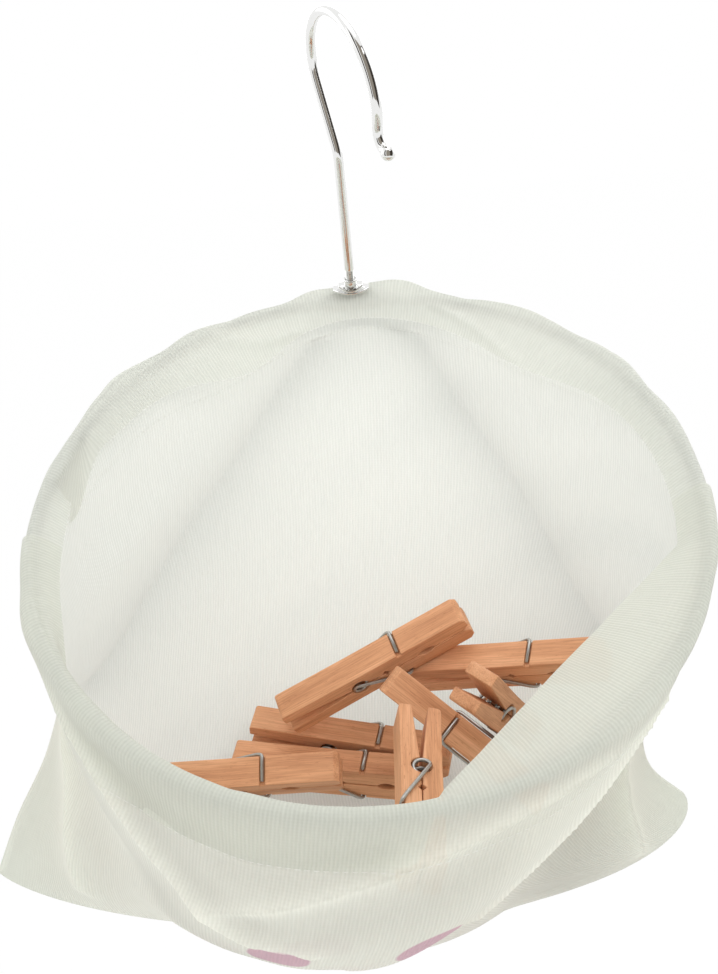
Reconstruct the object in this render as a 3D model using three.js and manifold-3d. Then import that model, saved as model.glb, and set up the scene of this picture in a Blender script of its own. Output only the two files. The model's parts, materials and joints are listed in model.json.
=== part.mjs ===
// Peg bag: a cloth bag hung open on a wire ring, with a swivel hook and wooden spring pegs inside.
// Millimetres, +Z up, +X to the right and -Y towards someone who looks into the mouth.
// The origin is the point of the hook that rests on the line the bag hangs from.
import * as THREE from 'three';
import { mergeVertices } from 'three/addons/utils/BufferGeometryUtils.js';
import Module from 'manifold-3d';

const wasm = await Module();
wasm.setup();

const { degToRad, lerp, smoothstep } = THREE.MathUtils;
const point = (x, y, z) => new THREE.Vector3(x, y, z);

// Clearances
const SEAT_GAP = 0.3;
const CLOTH_GAP = 0.4;
const REST_GAP = 0.5;
const WELD = 1e-4;

// Ring
const RING_RADIUS = 102;
const RING_WIRE = 3.6;
const RING_TILT = 30;
const RING_STEPS = 56;
const RING_SIDES = 8;

// Joiner block that holds the ring's two ends and the hook
const JOINER_LENGTH = 20;
const JOINER_ACROSS = 6;
const JOINER_WEB = 6;
const JOINER_BORE_PLAY = 0.45;
const JOINER_SIDES = 8;
const BORE_SIDES = 12;

// Hook
const HOOK_WIRE = 3.3;
const HOOK_TURN = 64;
const STEM_LENGTH = 62;
const BEND_RADIUS = 14;
const BEND_STEPS = 4;
const LOOP_RADIUS = 21.4;
const LOOP_HEIGHT = 92;
const LOOP_OFFSET = 8.6;
const LOOP_END = -12;
const LOOP_STEPS = 24;
const TIP_REACH = 5.8;
const TIP_DROP = 5.9;
const TIP_BALL = 4.6;
const BALL_STEPS = 6;
const HOOK_SIDES = 10;

// Two spring clips with turned-up wings and a collar on the cloth, and the nut under the joiner
const BASE_CLIP_LENGTH = 12.6;
const BASE_CLIP_RISE = 0.8;
const UPPER_CLIP_LENGTH = 8.2;
const UPPER_CLIP_RISE = 1.5;
const CLIP_WIDTH = 6;
const CLIP_END_WIDTH = 2.6;
const CLIP_SHEET = 0.6;
const CLIP_STEPS = 8;
const COLLAR_ACROSS = 4.8;
const COLLAR_HEIGHT = 2.4;
const COLLAR_SIDES = 16;
const NUT_ACROSS = 4;
const NUT_HEIGHT = 0.8;
const NUT_BORE_PLAY = 0.15;

// Cloth
const CLOTH = 0.8;
const HEM_DEPTH = 15;
const CASING_PLAY = 0.5;
const CASING_SWELL_REACH = 11;
const CASING_SWELL_FADE = 2.5;
const SEAM_GAP = 0.3;
const SEAM_REACH = 0.88;
const CLOTH_COLUMNS = 32;
const WALL_ROWS = 13;
const CASING_STEPS = 6;
const HEM_ROWS = 3;
const MOUTH_FULLNESS = 0.5;
const SEAM_FULLNESS = 0.6;
const FULLNESS_FADE = 1.5;
const FOLD_SOFTNESS = 0.4;
const EAR_POWER = 8;

// Where the walls run below the ring, each from the mouth down to the bottom seam,
// measured from the ring's centre in shares of the ring's radius
const LEFT_SEAM = [point(-0.99, -0.03, -0.18), point(-0.97, -0.03, -0.41), point(-1.04, -0.08, -0.65),
  point(-1.16, -0.11, -0.86), point(-1.25, -0.12, -1.05)];
const RIGHT_SEAM = [point(0.98, -0.03, -0.18), point(0.89, -0.04, -0.47), point(0.8, -0.08, -0.75),
  point(0.81, -0.1, -0.88), point(0.9, -0.11, -1.01)];
const FRONT_WALL = [point(-0.04, -0.9, -0.67), point(-0.08, -0.89, -0.84), point(-0.12, -0.78, -1),
  point(-0.13, -0.59, -1.14), point(-0.05, -0.39, -1.25), point(0.06, -0.18, -1.3)];
const BACK_WALL = [point(0, 0.86, 0.2), point(-0.02, 0.85, -0.25), point(-0.06, 0.8, -0.61), point(-0.1, 0.68, -0.94),
  point(-0.1, 0.45, -1.12), point(-0.04, 0.14, -1.23), point(0.06, -0.18, -1.3)];

// How much of the way to the side seam a panel's belly takes, at even steps from the mouth to the bottom seam;
// past the belly the cloth folds in, so that the corners stand out as ears
const FRONT_LEFT_BELLY = [1, 0.97, 0.89, 0.85, 0.88, 1];
const FRONT_RIGHT_BELLY = [1, 0.74, 0.43, 0.38, 0.66, 1];
const BACK_BELLY = [1, 1, 1, 0.97, 0.95, 1];

// Peg halves
const PEG_LENGTH = 72;
const PEG_WIDTH = 10;
const PEG_HALF = 6.4;
const PEG_FACE_GAP = 0.3;
const HANDLE_LENGTH = 29;
const HANDLE_TIP = 4.2;
const HANDLE_RISE = 0.5;
const HANDLE_ROUND = 1.6;
const JAW_CHAMFER = 1.6;
const JAW_ENTRY = 2.6;
const GRIP_PLACE = 26;
const GRIP_LENGTH = 6.6;
const GRIP_DEPTH = 1.3;
const NOTCH_PLACE = 10;
const NOTCH_DEPTH = 1.2;
const GROOVE_PLACE = 17.5;
const GROOVE_DEPTH = 1.1;
const PROFILE_ARC_STEPS = 6;

// Peg spring
const SPRING_WIRE = 1.2;
const COIL_RADIUS = 2.4;
const COIL_TURNS = 3;
const CURL_STEPS = 8;
const SPRING_BEND = 1.3;
const SPRING_END_SHORT = 1.4;
const SPRING_SIDES = 5;

// How each peg lies, in the order they fell in: the place of its coil seen from above, in shares of the ring's
// radius, the heading of its jaws, their pitch upwards and the roll of its upper face towards the mouth
const PEGS = [
  { x: -0.25, y: 0.32, heading: -9, pitch: -5, roll: 18 },
  { x: -0.19, y: 0.43, heading: -11, pitch: -8, roll: 24 },
  { x: -0.57, y: 0.125, heading: -4, pitch: 2, roll: 45 },
  { x: 0.34, y: 0.1, heading: 164, pitch: 40, roll: -60 },
  { x: 0.36, y: 0.04, heading: 70, pitch: -38, roll: 26 },
  { x: 0.36, y: 0.34, heading: -24, pitch: 10, roll: 34 },
  { x: -0.08, y: 0.36, heading: 2, pitch: 26, roll: 34 },
  { x: 0.1, y: -0.3, heading: -92, pitch: -10, roll: 75 },
];

// Materials
const metal = (color, roughness) => new THREE.MeshStandardMaterial({ color, roughness, metalness: 1 });
const chrome = () => metal(0xdcdcd8, 0.08);
const steel = () => metal(0x8f8f8c, 0.35);
const cloth = () => new THREE.MeshStandardMaterial({ color: 0xe9ebe2, roughness: 0.95, metalness: 0 });
const wood = () => new THREE.MeshStandardMaterial({ color: 0xc98a5e, roughness: 0.7, metalness: 0 });

// Directions of the tilted ring: to the right, to the back along the ring, and square to it
const tilt = degToRad(RING_TILT);
const ringRight = point(1, 0, 0);
const ringBack = point(0, Math.cos(tilt), Math.sin(tilt));
const ringUp = point(0, -Math.sin(tilt), Math.cos(tilt));

// Geometry from plain lists
function solidGeometry(positions, triangles) {
  const geometry = new THREE.BufferGeometry();
  geometry.setAttribute('position', new THREE.Float32BufferAttribute(positions, 3));
  geometry.setIndex(triangles);
  return geometry;
}

function welded(geometry) {
  const bare = geometry.clone();
  bare.deleteAttribute('normal');
  bare.deleteAttribute('uv');
  return mergeVertices(bare, WELD);
}

function toManifold(geometry) {
  const merged = welded(geometry);
  const vertProperties = new Float32Array(merged.attributes.position.array);
  const triVerts = new Uint32Array(merged.index.array);
  return new wasm.Manifold(new wasm.Mesh({ numProp: 3, vertProperties, triVerts }));
}

function cut(geometry, ...tools) {
  const solid = tools.reduce((rest, tool) => rest.subtract(toManifold(tool)), toManifold(geometry));
  const mesh = solid.getMesh();
  return solidGeometry(Array.from(mesh.vertProperties), Array.from(mesh.triVerts));
}

// A closed tube along a list of points, with a radius at each point
function sweep(path, radii, sides) {
  const positions = [];
  const triangles = [];
  const clampIndex = (i) => path[Math.min(Math.max(i, 0), path.length - 1)];
  const tangent = (i) => clampIndex(i + 1).clone().sub(clampIndex(i - 1)).normalize();
  const first = tangent(0);
  const start = Math.abs(first.y) < 0.9 ? point(0, 1, 0) : point(1, 0, 0);
  let side = start.cross(first).normalize();
  path.forEach((p, i) => {
    const way = tangent(i);
    side = side.clone().addScaledVector(way, -side.dot(way)).normalize();
    const across = way.clone().cross(side);
    for (let k = 0; k < sides; k++) {
      const turn = (2 * Math.PI * k) / sides;
      const rim = p.clone().addScaledVector(side, radii[i] * Math.cos(turn));
      rim.addScaledVector(across, radii[i] * Math.sin(turn));
      positions.push(rim.x, rim.y, rim.z);
    }
  });
  for (let i = 0; i + 1 < path.length; i++) {
    for (let k = 0; k < sides; k++) {
      const a = i * sides + k;
      const b = i * sides + ((k + 1) % sides);
      triangles.push(a, b, b + sides, a, b + sides, a + sides);
    }
  }
  const last = (path.length - 1) * sides;
  for (let k = 1; k + 1 < sides; k++) {
    triangles.push(0, k + 1, k, last, last + k, last + k + 1);
  }
  return solidGeometry(positions, triangles);
}

// A closed thin sheet through a grid of points, its faces split alike to the left and right of its middle
function sheet(grid, thickness) {
  const columns = grid.length;
  const rows = grid[0].length;
  const positions = [];
  const triangles = [];
  const at = (i, j) => grid[Math.min(Math.max(i, 0), columns - 1)][Math.min(Math.max(j, 0), rows - 1)];
  for (const face of [0.5, -0.5]) {
    for (let i = 0; i < columns; i++) {
      for (let j = 0; j < rows; j++) {
        const along = at(i + 1, j).clone().sub(at(i - 1, j));
        const down = at(i, j + 1).clone().sub(at(i, j - 1));
        const p = at(i, j).clone().addScaledVector(along.cross(down).normalize(), face * thickness);
        positions.push(p.x, p.y, p.z);
      }
    }
  }
  const index = (face, i, j) => (face * columns + i) * rows + j;
  const quad = (a, b, c, d) => triangles.push(a, b, c, a, c, d);
  const lastRow = rows - 1;
  const lastColumn = columns - 1;
  for (let i = 0; i < lastColumn; i++) {
    const [near, far, top, under] = i < lastColumn / 2 ? [i, i + 1, 0, 1] : [i + 1, i, 1, 0];
    for (let j = 0; j < lastRow; j++) {
      quad(index(top, near, j), index(top, far, j), index(top, far, j + 1), index(top, near, j + 1));
      quad(index(under, near, j), index(under, near, j + 1), index(under, far, j + 1), index(under, far, j));
    }
    quad(index(0, i, 0), index(1, i, 0), index(1, i + 1, 0), index(0, i + 1, 0));
    quad(index(0, i, lastRow), index(0, i + 1, lastRow), index(1, i + 1, lastRow), index(1, i, lastRow));
  }
  for (let j = 0; j < lastRow; j++) {
    quad(index(0, 0, j), index(0, 0, j + 1), index(1, 0, j + 1), index(1, 0, j));
    quad(index(0, lastColumn, j), index(1, lastColumn, j), index(1, lastColumn, j + 1), index(0, lastColumn, j + 1));
  }
  return solidGeometry(positions, triangles);
}

// Hook: stem, bend, loop and ball tip in the X-Z plane, its stem on the Z axis from the ring's plane up
const hookRadius = HOOK_WIRE / 2;
const stemFoot = JOINER_ACROSS / 2 + SEAT_GAP + NUT_HEIGHT;
const loopCentre = point(LOOP_OFFSET, 0, LOOP_HEIGHT);

function loopPoint(angle) {
  return point(loopCentre.x + LOOP_RADIUS * Math.cos(angle), 0, loopCentre.z + LOOP_RADIUS * Math.sin(angle));
}

function bendPoints(before, corner, after, radius, steps) {
  const into = corner.clone().sub(before).normalize();
  const out = after.clone().sub(corner).normalize();
  const reach = radius * Math.tan(into.angleTo(out) / 2);
  const from = corner.clone().addScaledVector(into, -reach);
  const to = corner.clone().addScaledVector(out, reach);
  return new THREE.QuadraticBezierCurve3(from, corner, to).getPoints(steps);
}

function hookGeometry() {
  const foot = point(0, 0, -stemFoot);
  const neck = point(0, 0, STEM_LENGTH);
  const toCentre = loopCentre.clone().sub(neck);
  const lean = Math.atan2(toCentre.z, toCentre.x) + Math.asin(LOOP_RADIUS / toCentre.length());
  const loopStart = lean + Math.PI / 2;
  const path = [foot, ...bendPoints(foot, neck, loopPoint(loopStart), BEND_RADIUS, BEND_STEPS)];
  for (let i = 0; i <= LOOP_STEPS; i++) {
    path.push(loopPoint(lerp(loopStart, degToRad(LOOP_END), i / LOOP_STEPS)));
  }
  const ballRadius = TIP_BALL / 2;
  const end = path[path.length - 1];
  const ball = point(end.x + TIP_REACH, 0, end.z - TIP_DROP);
  const flare = point(end.x, 0, ball.z);
  const way = ball.clone().sub(flare).normalize();
  const neckAngle = Math.PI - Math.asin(hookRadius / ballRadius);
  const ballNeck = ball.clone().addScaledVector(way, ballRadius * Math.cos(neckAngle));
  path.push(...new THREE.QuadraticBezierCurve3(end, flare, ballNeck).getPoints(BEND_STEPS).slice(1));
  const radii = path.map(() => hookRadius);
  for (let i = 1; i <= BALL_STEPS; i++) {
    const angle = lerp(neckAngle, Math.PI / BALL_STEPS / 2, i / BALL_STEPS);
    path.push(ball.clone().addScaledVector(way, ballRadius * Math.cos(angle)));
    radii.push(ballRadius * Math.sin(angle));
  }
  return sweep(path, radii, HOOK_SIDES);
}

// A round bar along Z, as a cutting tool or a blank
function bar(radius, length, sides) {
  return new THREE.CylinderGeometry(radius, radius, length, sides).rotateX(Math.PI / 2);
}

// Ring wire: one bar bent round, its two ends facing each other inside the joiner
function ringGeometry() {
  const gap = (JOINER_WEB / 2 + SEAT_GAP) / RING_RADIUS;
  const path = [];
  for (let i = 0; i <= RING_STEPS; i++) {
    const angle = Math.PI / 2 + lerp(gap, 2 * Math.PI - gap, i / RING_STEPS);
    path.push(point(RING_RADIUS * Math.cos(angle), RING_RADIUS * Math.sin(angle), 0));
  }
  return sweep(path, path.map(() => RING_WIRE / 2), RING_SIDES);
}

// Joiner: an eight-sided block with a blind bore in each end for the ring and a cross hole for the stem
const joinerCorner = JOINER_ACROSS / 2 / Math.cos(Math.PI / JOINER_SIDES);

function joinerGeometry() {
  const block = bar(joinerCorner, JOINER_LENGTH, JOINER_SIDES).rotateZ(Math.PI / JOINER_SIDES).rotateY(Math.PI / 2);
  const boreLength = JOINER_LENGTH / 2;
  const ringSag = RING_RADIUS - Math.sqrt(RING_RADIUS ** 2 - (JOINER_LENGTH / 2) ** 2);
  const bores = [-1, 1].map((way) => {
    const bore = bar(RING_WIRE / 2 + JOINER_BORE_PLAY, boreLength, BORE_SIDES).rotateY(Math.PI / 2);
    return bore.translate((way * (JOINER_WEB + boreLength)) / 2, -ringSag / 2, 0);
  });
  return cut(block, ...bores, bar(hookRadius + SEAT_GAP, JOINER_ACROSS * 2, BORE_SIDES));
}

// Nut under the joiner, and the collar and clips on the cloth above it
function nutGeometry() {
  const nut = bar(NUT_ACROSS / 2, NUT_HEIGHT, BORE_SIDES);
  nut.translate(0, 0, -JOINER_ACROSS / 2 - SEAT_GAP - NUT_HEIGHT / 2);
  return cut(nut, bar(hookRadius + NUT_BORE_PLAY, JOINER_ACROSS * 4, BORE_SIDES));
}

function collarGeometry(height) {
  const collar = bar(COLLAR_ACROSS / 2, COLLAR_HEIGHT, COLLAR_SIDES).translate(0, 0, height + COLLAR_HEIGHT / 2);
  return cut(collar, bar(hookRadius + NUT_BORE_PLAY, 4 * (height + COLLAR_HEIGHT), BORE_SIDES));
}

function clipGeometry(length, rise, height) {
  const grid = [];
  for (let i = 0; i <= CLIP_STEPS; i++) {
    const along = lerp(-1, 1, i / CLIP_STEPS);
    const half = lerp(CLIP_WIDTH, CLIP_END_WIDTH, along * along) / 2;
    const lift = height + CLIP_SHEET / 2 + rise * along * along;
    grid.push([-1, 0, 1].map((way) => point((along * length) / 2, way * half, lift)));
  }
  return cut(sheet(grid, CLIP_SHEET), bar(hookRadius + SEAT_GAP, 4 * (height + length), BORE_SIDES));
}

// Cloth: rows of lens-shaped outlines between the two side seams, round at the mouth and folded in at the flanks
const ringAt = (angle) => ringRight.clone().multiplyScalar(RING_RADIUS * Math.cos(angle))
  .addScaledVector(ringBack, RING_RADIUS * Math.sin(angle));
const ofRing = (p) => p.clone().multiplyScalar(RING_RADIUS);
const seamCurve = (angle, points) => new THREE.CatmullRomCurve3([ringAt(angle), ...points.map(ofRing)]);
const leftSeam = seamCurve(Math.PI, LEFT_SEAM);
const rightSeam = seamCurve(0, RIGHT_SEAM);
const front = { nose: seamCurve(-Math.PI / 2, FRONT_WALL), left: FRONT_LEFT_BELLY, right: FRONT_RIGHT_BELLY };
const back = { nose: seamCurve(Math.PI / 2, BACK_WALL), left: BACK_BELLY, right: BACK_BELLY };

function stepsAt(steps, share) {
  const line = new THREE.SplineCurve(steps.map((step, i) => new THREE.Vector2(i, step)));
  return Math.min(line.getPoint(share).y, 1);
}

function wallPoint(panel, across, v) {
  const left = leftSeam.getPointAt(v);
  const right = rightSeam.getPointAt(v);
  const middle = left.clone().lerp(right, 0.5);
  const belly = stepsAt(across < 0 ? panel.left : panel.right, v);
  const fullness = lerp(MOUTH_FULLNESS, SEAM_FULLNESS, v ** FULLNESS_FADE);
  const inside = 1 - (across / belly) ** 2;
  const soft = FOLD_SOFTNESS * Math.sqrt(1 - belly);
  const toSeam = Math.max(1 - Math.abs(across) ** EAR_POWER, 0) ** (1 - belly);
  const reach = Math.max((Math.hypot(inside, soft) + inside) / 2, 0) ** fullness * toSeam;
  return middle.clone().lerp(right, across).addScaledVector(panel.nose.getPointAt(v).sub(middle), reach);
}

// The casing is wider where it holds the joiner and the nut
const nutReach = Math.hypot(stemFoot, NUT_ACROSS / 2);
const joinerCasing = Math.max(nutReach, joinerCorner) + CLOTH_GAP;

function casingRadius(angle) {
  const plain = RING_WIRE / 2 + CASING_PLAY;
  const away = (Math.abs(angle - Math.PI / 2) * RING_RADIUS) / CASING_SWELL_REACH;
  const swell = 1 - smoothstep(away, 1, CASING_SWELL_FADE);
  return lerp(plain, joinerCasing, swell) + CLOTH / 2;
}

// One column of a panel, from the end of its hem inside, over the ring and down to the bottom seam
function panelColumn(panel, turn, side) {
  const across = -Math.cos(turn);
  const angle = side > 0 ? Math.PI - turn : Math.PI + turn;
  const ringCentre = ringAt(angle);
  const outward = ringCentre.clone().normalize();
  const along = ringUp.clone().cross(outward);
  const drop = lerp(panel.nose.getLength(), leftSeam.getLength(), across * across);
  const hemEnd = HEM_DEPTH / drop;
  const down = wallPoint(panel, across, hemEnd).sub(ringCentre);
  down.addScaledVector(along, -down.dot(along)).normalize();
  const out = outward.clone().addScaledVector(down, -outward.dot(down)).normalize();
  const radius = casingRadius(angle);
  const column = [];
  const wall = (v, offset) => wallPoint(panel, across, v).addScaledVector(out, offset);
  for (let j = HEM_ROWS; j >= 1; j--) {
    const ease = smoothstep(j / HEM_ROWS, 0, 1);
    column.push(wall((hemEnd * j) / HEM_ROWS, lerp(-radius, -CLOTH - CLOTH_GAP, ease)));
  }
  for (let j = 0; j <= CASING_STEPS; j++) {
    const sweepAngle = (Math.PI * j) / CASING_STEPS;
    const p = ringCentre.clone().addScaledVector(out, -radius * Math.cos(sweepAngle));
    column.push(p.addScaledVector(down, -radius * Math.sin(sweepAngle)));
  }
  for (let j = 1; j <= HEM_ROWS; j++) {
    const ease = smoothstep(j / HEM_ROWS, 0, 1);
    column.push(wall((hemEnd * j) / HEM_ROWS, lerp(radius, 0, ease)));
  }
  for (let j = 1; j <= WALL_ROWS; j++) {
    column.push(wall(lerp(hemEnd, 1, j / WALL_ROWS), 0));
  }
  return column;
}

// Two panels meet at the seams with their faces a small gap apart: side is -1 in front and 1 at the back
function panelGeometry(panel, side) {
  const grid = [];
  for (let i = 0; i <= CLOTH_COLUMNS; i++) {
    grid.push(panelColumn(panel, (Math.PI * i) / CLOTH_COLUMNS, side));
  }
  const at = (i, j) => grid[Math.min(Math.max(i, 0), CLOTH_COLUMNS)][Math.min(Math.max(j, 0), grid[0].length - 1)];
  const parted = grid.map((column, i) => column.map((p, j) => {
    const toSide = Math.abs(Math.cos((Math.PI * i) / CLOTH_COLUMNS));
    const toBottom = 1 - (column.length - 1 - j) / WALL_ROWS;
    const near = Math.max(smoothstep(toSide, SEAM_REACH, 1), smoothstep(toBottom, SEAM_REACH, 1));
    const normal = at(i + 1, j).clone().sub(at(i - 1, j)).cross(at(i, j + 1).clone().sub(at(i, j - 1))).normalize();
    const apart = SEAM_GAP + CLOTH * Math.abs(normal.y);
    return p.clone().add(point(0, (side * near * apart) / 2, 0));
  }));
  return sheet(parted, CLOTH);
}

function backPanelGeometry() {
  const hole = bar(hookRadius + CLOTH_GAP, 4 * joinerCasing, BORE_SIDES).translate(0, 0, 2 * joinerCasing);
  hole.translate(0, RING_RADIUS, 0).rotateX(tilt);
  return cut(panelGeometry(back, 1), hole);
}

// Peg half: one profile cut straight across the width, with its inner face towards -Z
const jawEnd = PEG_LENGTH - HANDLE_LENGTH;
const faceGap = PEG_FACE_GAP / 2;
const coilSeat = COIL_RADIUS + SPRING_WIRE / 2 + SEAT_GAP;
const grooveHalf = SPRING_WIRE / 2 + SEAT_GAP;
const armHeight = PEG_HALF - GROOVE_DEPTH + SEAT_GAP + SPRING_WIRE / 2;
const armSide = PEG_WIDTH / 2 + SEAT_GAP + SPRING_WIRE / 2;

function halfGeometry() {
  const handleTop = PEG_HALF + HANDLE_RISE;
  const handleInner = handleTop - HANDLE_TIP;
  const taper = (handleInner - faceGap) / HANDLE_LENGTH;
  const seatLeft = faceGap + taper * coilSeat;
  const shape = new THREE.Shape();
  shape.moveTo(jawEnd - JAW_ENTRY, faceGap);
  shape.lineTo(jawEnd, faceGap + JAW_ENTRY / 2);
  shape.lineTo(jawEnd, PEG_HALF - JAW_CHAMFER);
  shape.lineTo(jawEnd - JAW_CHAMFER, PEG_HALF);
  shape.lineTo(GROOVE_PLACE + grooveHalf, PEG_HALF);
  shape.lineTo(GROOVE_PLACE + grooveHalf, PEG_HALF - GROOVE_DEPTH);
  shape.lineTo(GROOVE_PLACE - grooveHalf, PEG_HALF - GROOVE_DEPTH);
  shape.lineTo(GROOVE_PLACE - grooveHalf, PEG_HALF);
  shape.lineTo(0, PEG_HALF);
  shape.lineTo(HANDLE_ROUND - HANDLE_LENGTH, handleTop);
  shape.quadraticCurveTo(-HANDLE_LENGTH, handleTop, -HANDLE_LENGTH, handleTop - HANDLE_ROUND);
  shape.lineTo(-HANDLE_LENGTH, handleInner);
  const seatStart = Math.PI - Math.asin(seatLeft / coilSeat);
  const seatEnd = Math.asin(faceGap / coilSeat);
  shape.lineTo(coilSeat * Math.cos(seatStart), seatLeft);
  shape.absarc(0, 0, coilSeat, seatStart, seatEnd, true);
  shape.lineTo(NOTCH_PLACE - NOTCH_DEPTH, faceGap);
  shape.lineTo(NOTCH_PLACE, faceGap + NOTCH_DEPTH);
  shape.lineTo(NOTCH_PLACE + NOTCH_DEPTH, faceGap);
  shape.lineTo(GRIP_PLACE - GRIP_LENGTH / 2, faceGap);
  shape.quadraticCurveTo(GRIP_PLACE, faceGap + 2 * GRIP_DEPTH, GRIP_PLACE + GRIP_LENGTH / 2, faceGap);
  const options = { depth: PEG_WIDTH, bevelEnabled: false, curveSegments: PROFILE_ARC_STEPS, steps: 1 };
  const half = new THREE.ExtrudeGeometry(shape, options);
  return half.rotateX(Math.PI / 2).translate(0, PEG_WIDTH / 2, 0);
}

// Peg spring: one wire from the groove of the upper half, round the coil and into the groove of the lower half
function springPath() {
  const arm = Math.hypot(GROOVE_PLACE, armHeight);
  const contact = Math.atan2(armHeight, GROOVE_PLACE) - Math.acos(COIL_RADIUS / arm);
  const coilTurn = 2 * Math.PI * (COIL_TURNS + 1) + 2 * contact;
  const steps = Math.round((coilTurn / (2 * Math.PI)) * CURL_STEPS);
  const crossing = (way) => [
    point(GROOVE_PLACE, way * (SPRING_END_SHORT - PEG_WIDTH / 2), way * armHeight),
    point(GROOVE_PLACE, way * (armSide - SPRING_BEND), way * armHeight),
    point(GROOVE_PLACE - SPRING_BEND / 4, way * armSide, way * (armHeight - SPRING_BEND / 4)),
    point(GROOVE_PLACE - 2 * SPRING_BEND, way * armSide, way * (armHeight - SPRING_BEND)),
  ];
  const coil = [];
  for (let i = 0; i <= steps; i++) {
    const angle = contact - (coilTurn * i) / steps;
    coil.push(point(COIL_RADIUS * Math.cos(angle), lerp(armSide, -armSide, i / steps), COIL_RADIUS * Math.sin(angle)));
  }
  return [...crossing(1), ...coil, ...crossing(-1).reverse()];
}

function leastSelfGap(path, wire) {
  let least = Infinity;
  const travel = [0];
  for (let i = 1; i < path.length; i++) {
    travel.push(travel[i - 1] + path[i].distanceTo(path[i - 1]));
  }
  for (let i = 0; i < path.length; i++) {
    for (let j = i + 1; j < path.length; j++) {
      const apart = path[i].distanceTo(path[j]);
      if (travel[j] - travel[i] > 2 * apart) {
        least = Math.min(least, apart - wire);
      }
    }
  }
  return least;
}

// Resting a peg: how far it can come straight down before it meets what lies below
function outline(geometry, matrix) {
  const merged = welded(geometry);
  const position = merged.attributes.position;
  const vertices = [];
  for (let i = 0; i < position.count; i++) {
    vertices.push(new THREE.Vector3().fromBufferAttribute(position, i).applyMatrix4(matrix));
  }
  const faces = [];
  const edges = new Map();
  const index = merged.index.array;
  for (let i = 0; i < index.length; i += 3) {
    const face = [index[i], index[i + 1], index[i + 2]];
    faces.push(face.map((k) => vertices[k]));
    face.forEach((k, n) => {
      const next = face[(n + 1) % 3];
      edges.set(Math.min(k, next) + ':' + Math.max(k, next), [vertices[k], vertices[next]]);
    });
  }
  return { vertices, faces, edges: [...edges.values()] };
}

function apartInPlan(a, b) {
  const low = (list, axis) => Math.min(...list.map((p) => p[axis]));
  const high = (list, axis) => Math.max(...list.map((p) => p[axis]));
  return ['x', 'y'].some((axis) => low(a, axis) > high(b, axis) || low(b, axis) > high(a, axis));
}

function heightOnFace([a, b, c], p) {
  const area = (b.x - a.x) * (c.y - a.y) - (c.x - a.x) * (b.y - a.y);
  if (Math.abs(area) < 1e-9) {
    return null;
  }
  const second = ((p.x - a.x) * (c.y - a.y) - (c.x - a.x) * (p.y - a.y)) / area;
  const third = ((b.x - a.x) * (p.y - a.y) - (p.x - a.x) * (b.y - a.y)) / area;
  if (second < 0 || third < 0 || second + third > 1) {
    return null;
  }
  return a.z + second * (b.z - a.z) + third * (c.z - a.z);
}

function gapOfEdges([a, b], [c, d]) {
  const area = (b.x - a.x) * (d.y - c.y) - (b.y - a.y) * (d.x - c.x);
  if (Math.abs(area) < 1e-9) {
    return Infinity;
  }
  const s = ((c.x - a.x) * (d.y - c.y) - (c.y - a.y) * (d.x - c.x)) / area;
  const t = ((c.x - a.x) * (b.y - a.y) - (c.y - a.y) * (b.x - a.x)) / area;
  if (s < 0 || s > 1 || t < 0 || t > 1) {
    return Infinity;
  }
  return lerp(a.z, b.z, s) - lerp(c.z, d.z, t);
}

function dropOnto(falling, lying) {
  let least = Infinity;
  if (apartInPlan(falling.vertices, lying.vertices)) {
    return least;
  }
  const nearFaces = (list, others) => list.filter((face) => !apartInPlan(face, others));
  for (const face of nearFaces(lying.faces, falling.vertices)) {
    for (const p of falling.vertices) {
      const height = heightOnFace(face, p);
      if (height !== null) {
        least = Math.min(least, p.z - height);
      }
    }
  }
  for (const face of falling.faces) {
    for (const p of lying.vertices) {
      const height = heightOnFace(face, p);
      if (height !== null) {
        least = Math.min(least, height - p.z);
      }
    }
  }
  for (const edge of nearFaces(lying.edges, falling.vertices)) {
    for (const other of falling.edges) {
      least = Math.min(least, gapOfEdges(other, edge));
    }
  }
  return least;
}

// Assembly, first about the ring's centre
function named(name, geometry, material) {
  const mesh = new THREE.Mesh(geometry, material);
  mesh.name = name;
  return mesh;
}

const peg_bag = new THREE.Group();
peg_bag.name = 'peg_bag';

const ringGroup = new THREE.Group();
ringGroup.rotation.x = tilt;
const hookGroup = new THREE.Group();
hookGroup.position.y = RING_RADIUS;
hookGroup.rotation.z = -degToRad(HOOK_TURN);
const joiner = named('ring_joiner', joinerGeometry(), steel());
joiner.position.y = RING_RADIUS;
const baseHeight = joinerCasing + CLOTH + SEAT_GAP;
const upperHeight = baseHeight + CLIP_SHEET + SEAT_GAP;
const collarHeight = upperHeight + CLIP_SHEET + UPPER_CLIP_RISE * (COLLAR_ACROSS / UPPER_CLIP_LENGTH) ** 2 + SEAT_GAP;
const baseClip = named('base_clip', clipGeometry(BASE_CLIP_LENGTH, BASE_CLIP_RISE, baseHeight), chrome());
const upperClip = named('upper_clip', clipGeometry(UPPER_CLIP_LENGTH, UPPER_CLIP_RISE, upperHeight), chrome());
baseClip.position.y = RING_RADIUS;
upperClip.position.y = RING_RADIUS;
hookGroup.add(named('hook', hookGeometry(), chrome()));
hookGroup.add(named('hook_nut', nutGeometry(), steel()));
hookGroup.add(named('hook_collar', collarGeometry(collarHeight), chrome()));
ringGroup.add(named('ring_wire', ringGeometry(), steel()), joiner, baseClip, upperClip, hookGroup);

const frontPanel = panelGeometry(front, -1);
const backPanel = backPanelGeometry();
const bagGroup = new THREE.Group();
bagGroup.add(ringGroup);
bagGroup.add(named('front_panel', frontPanel, cloth()));
bagGroup.add(named('back_panel', backPanel, cloth()));

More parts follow.
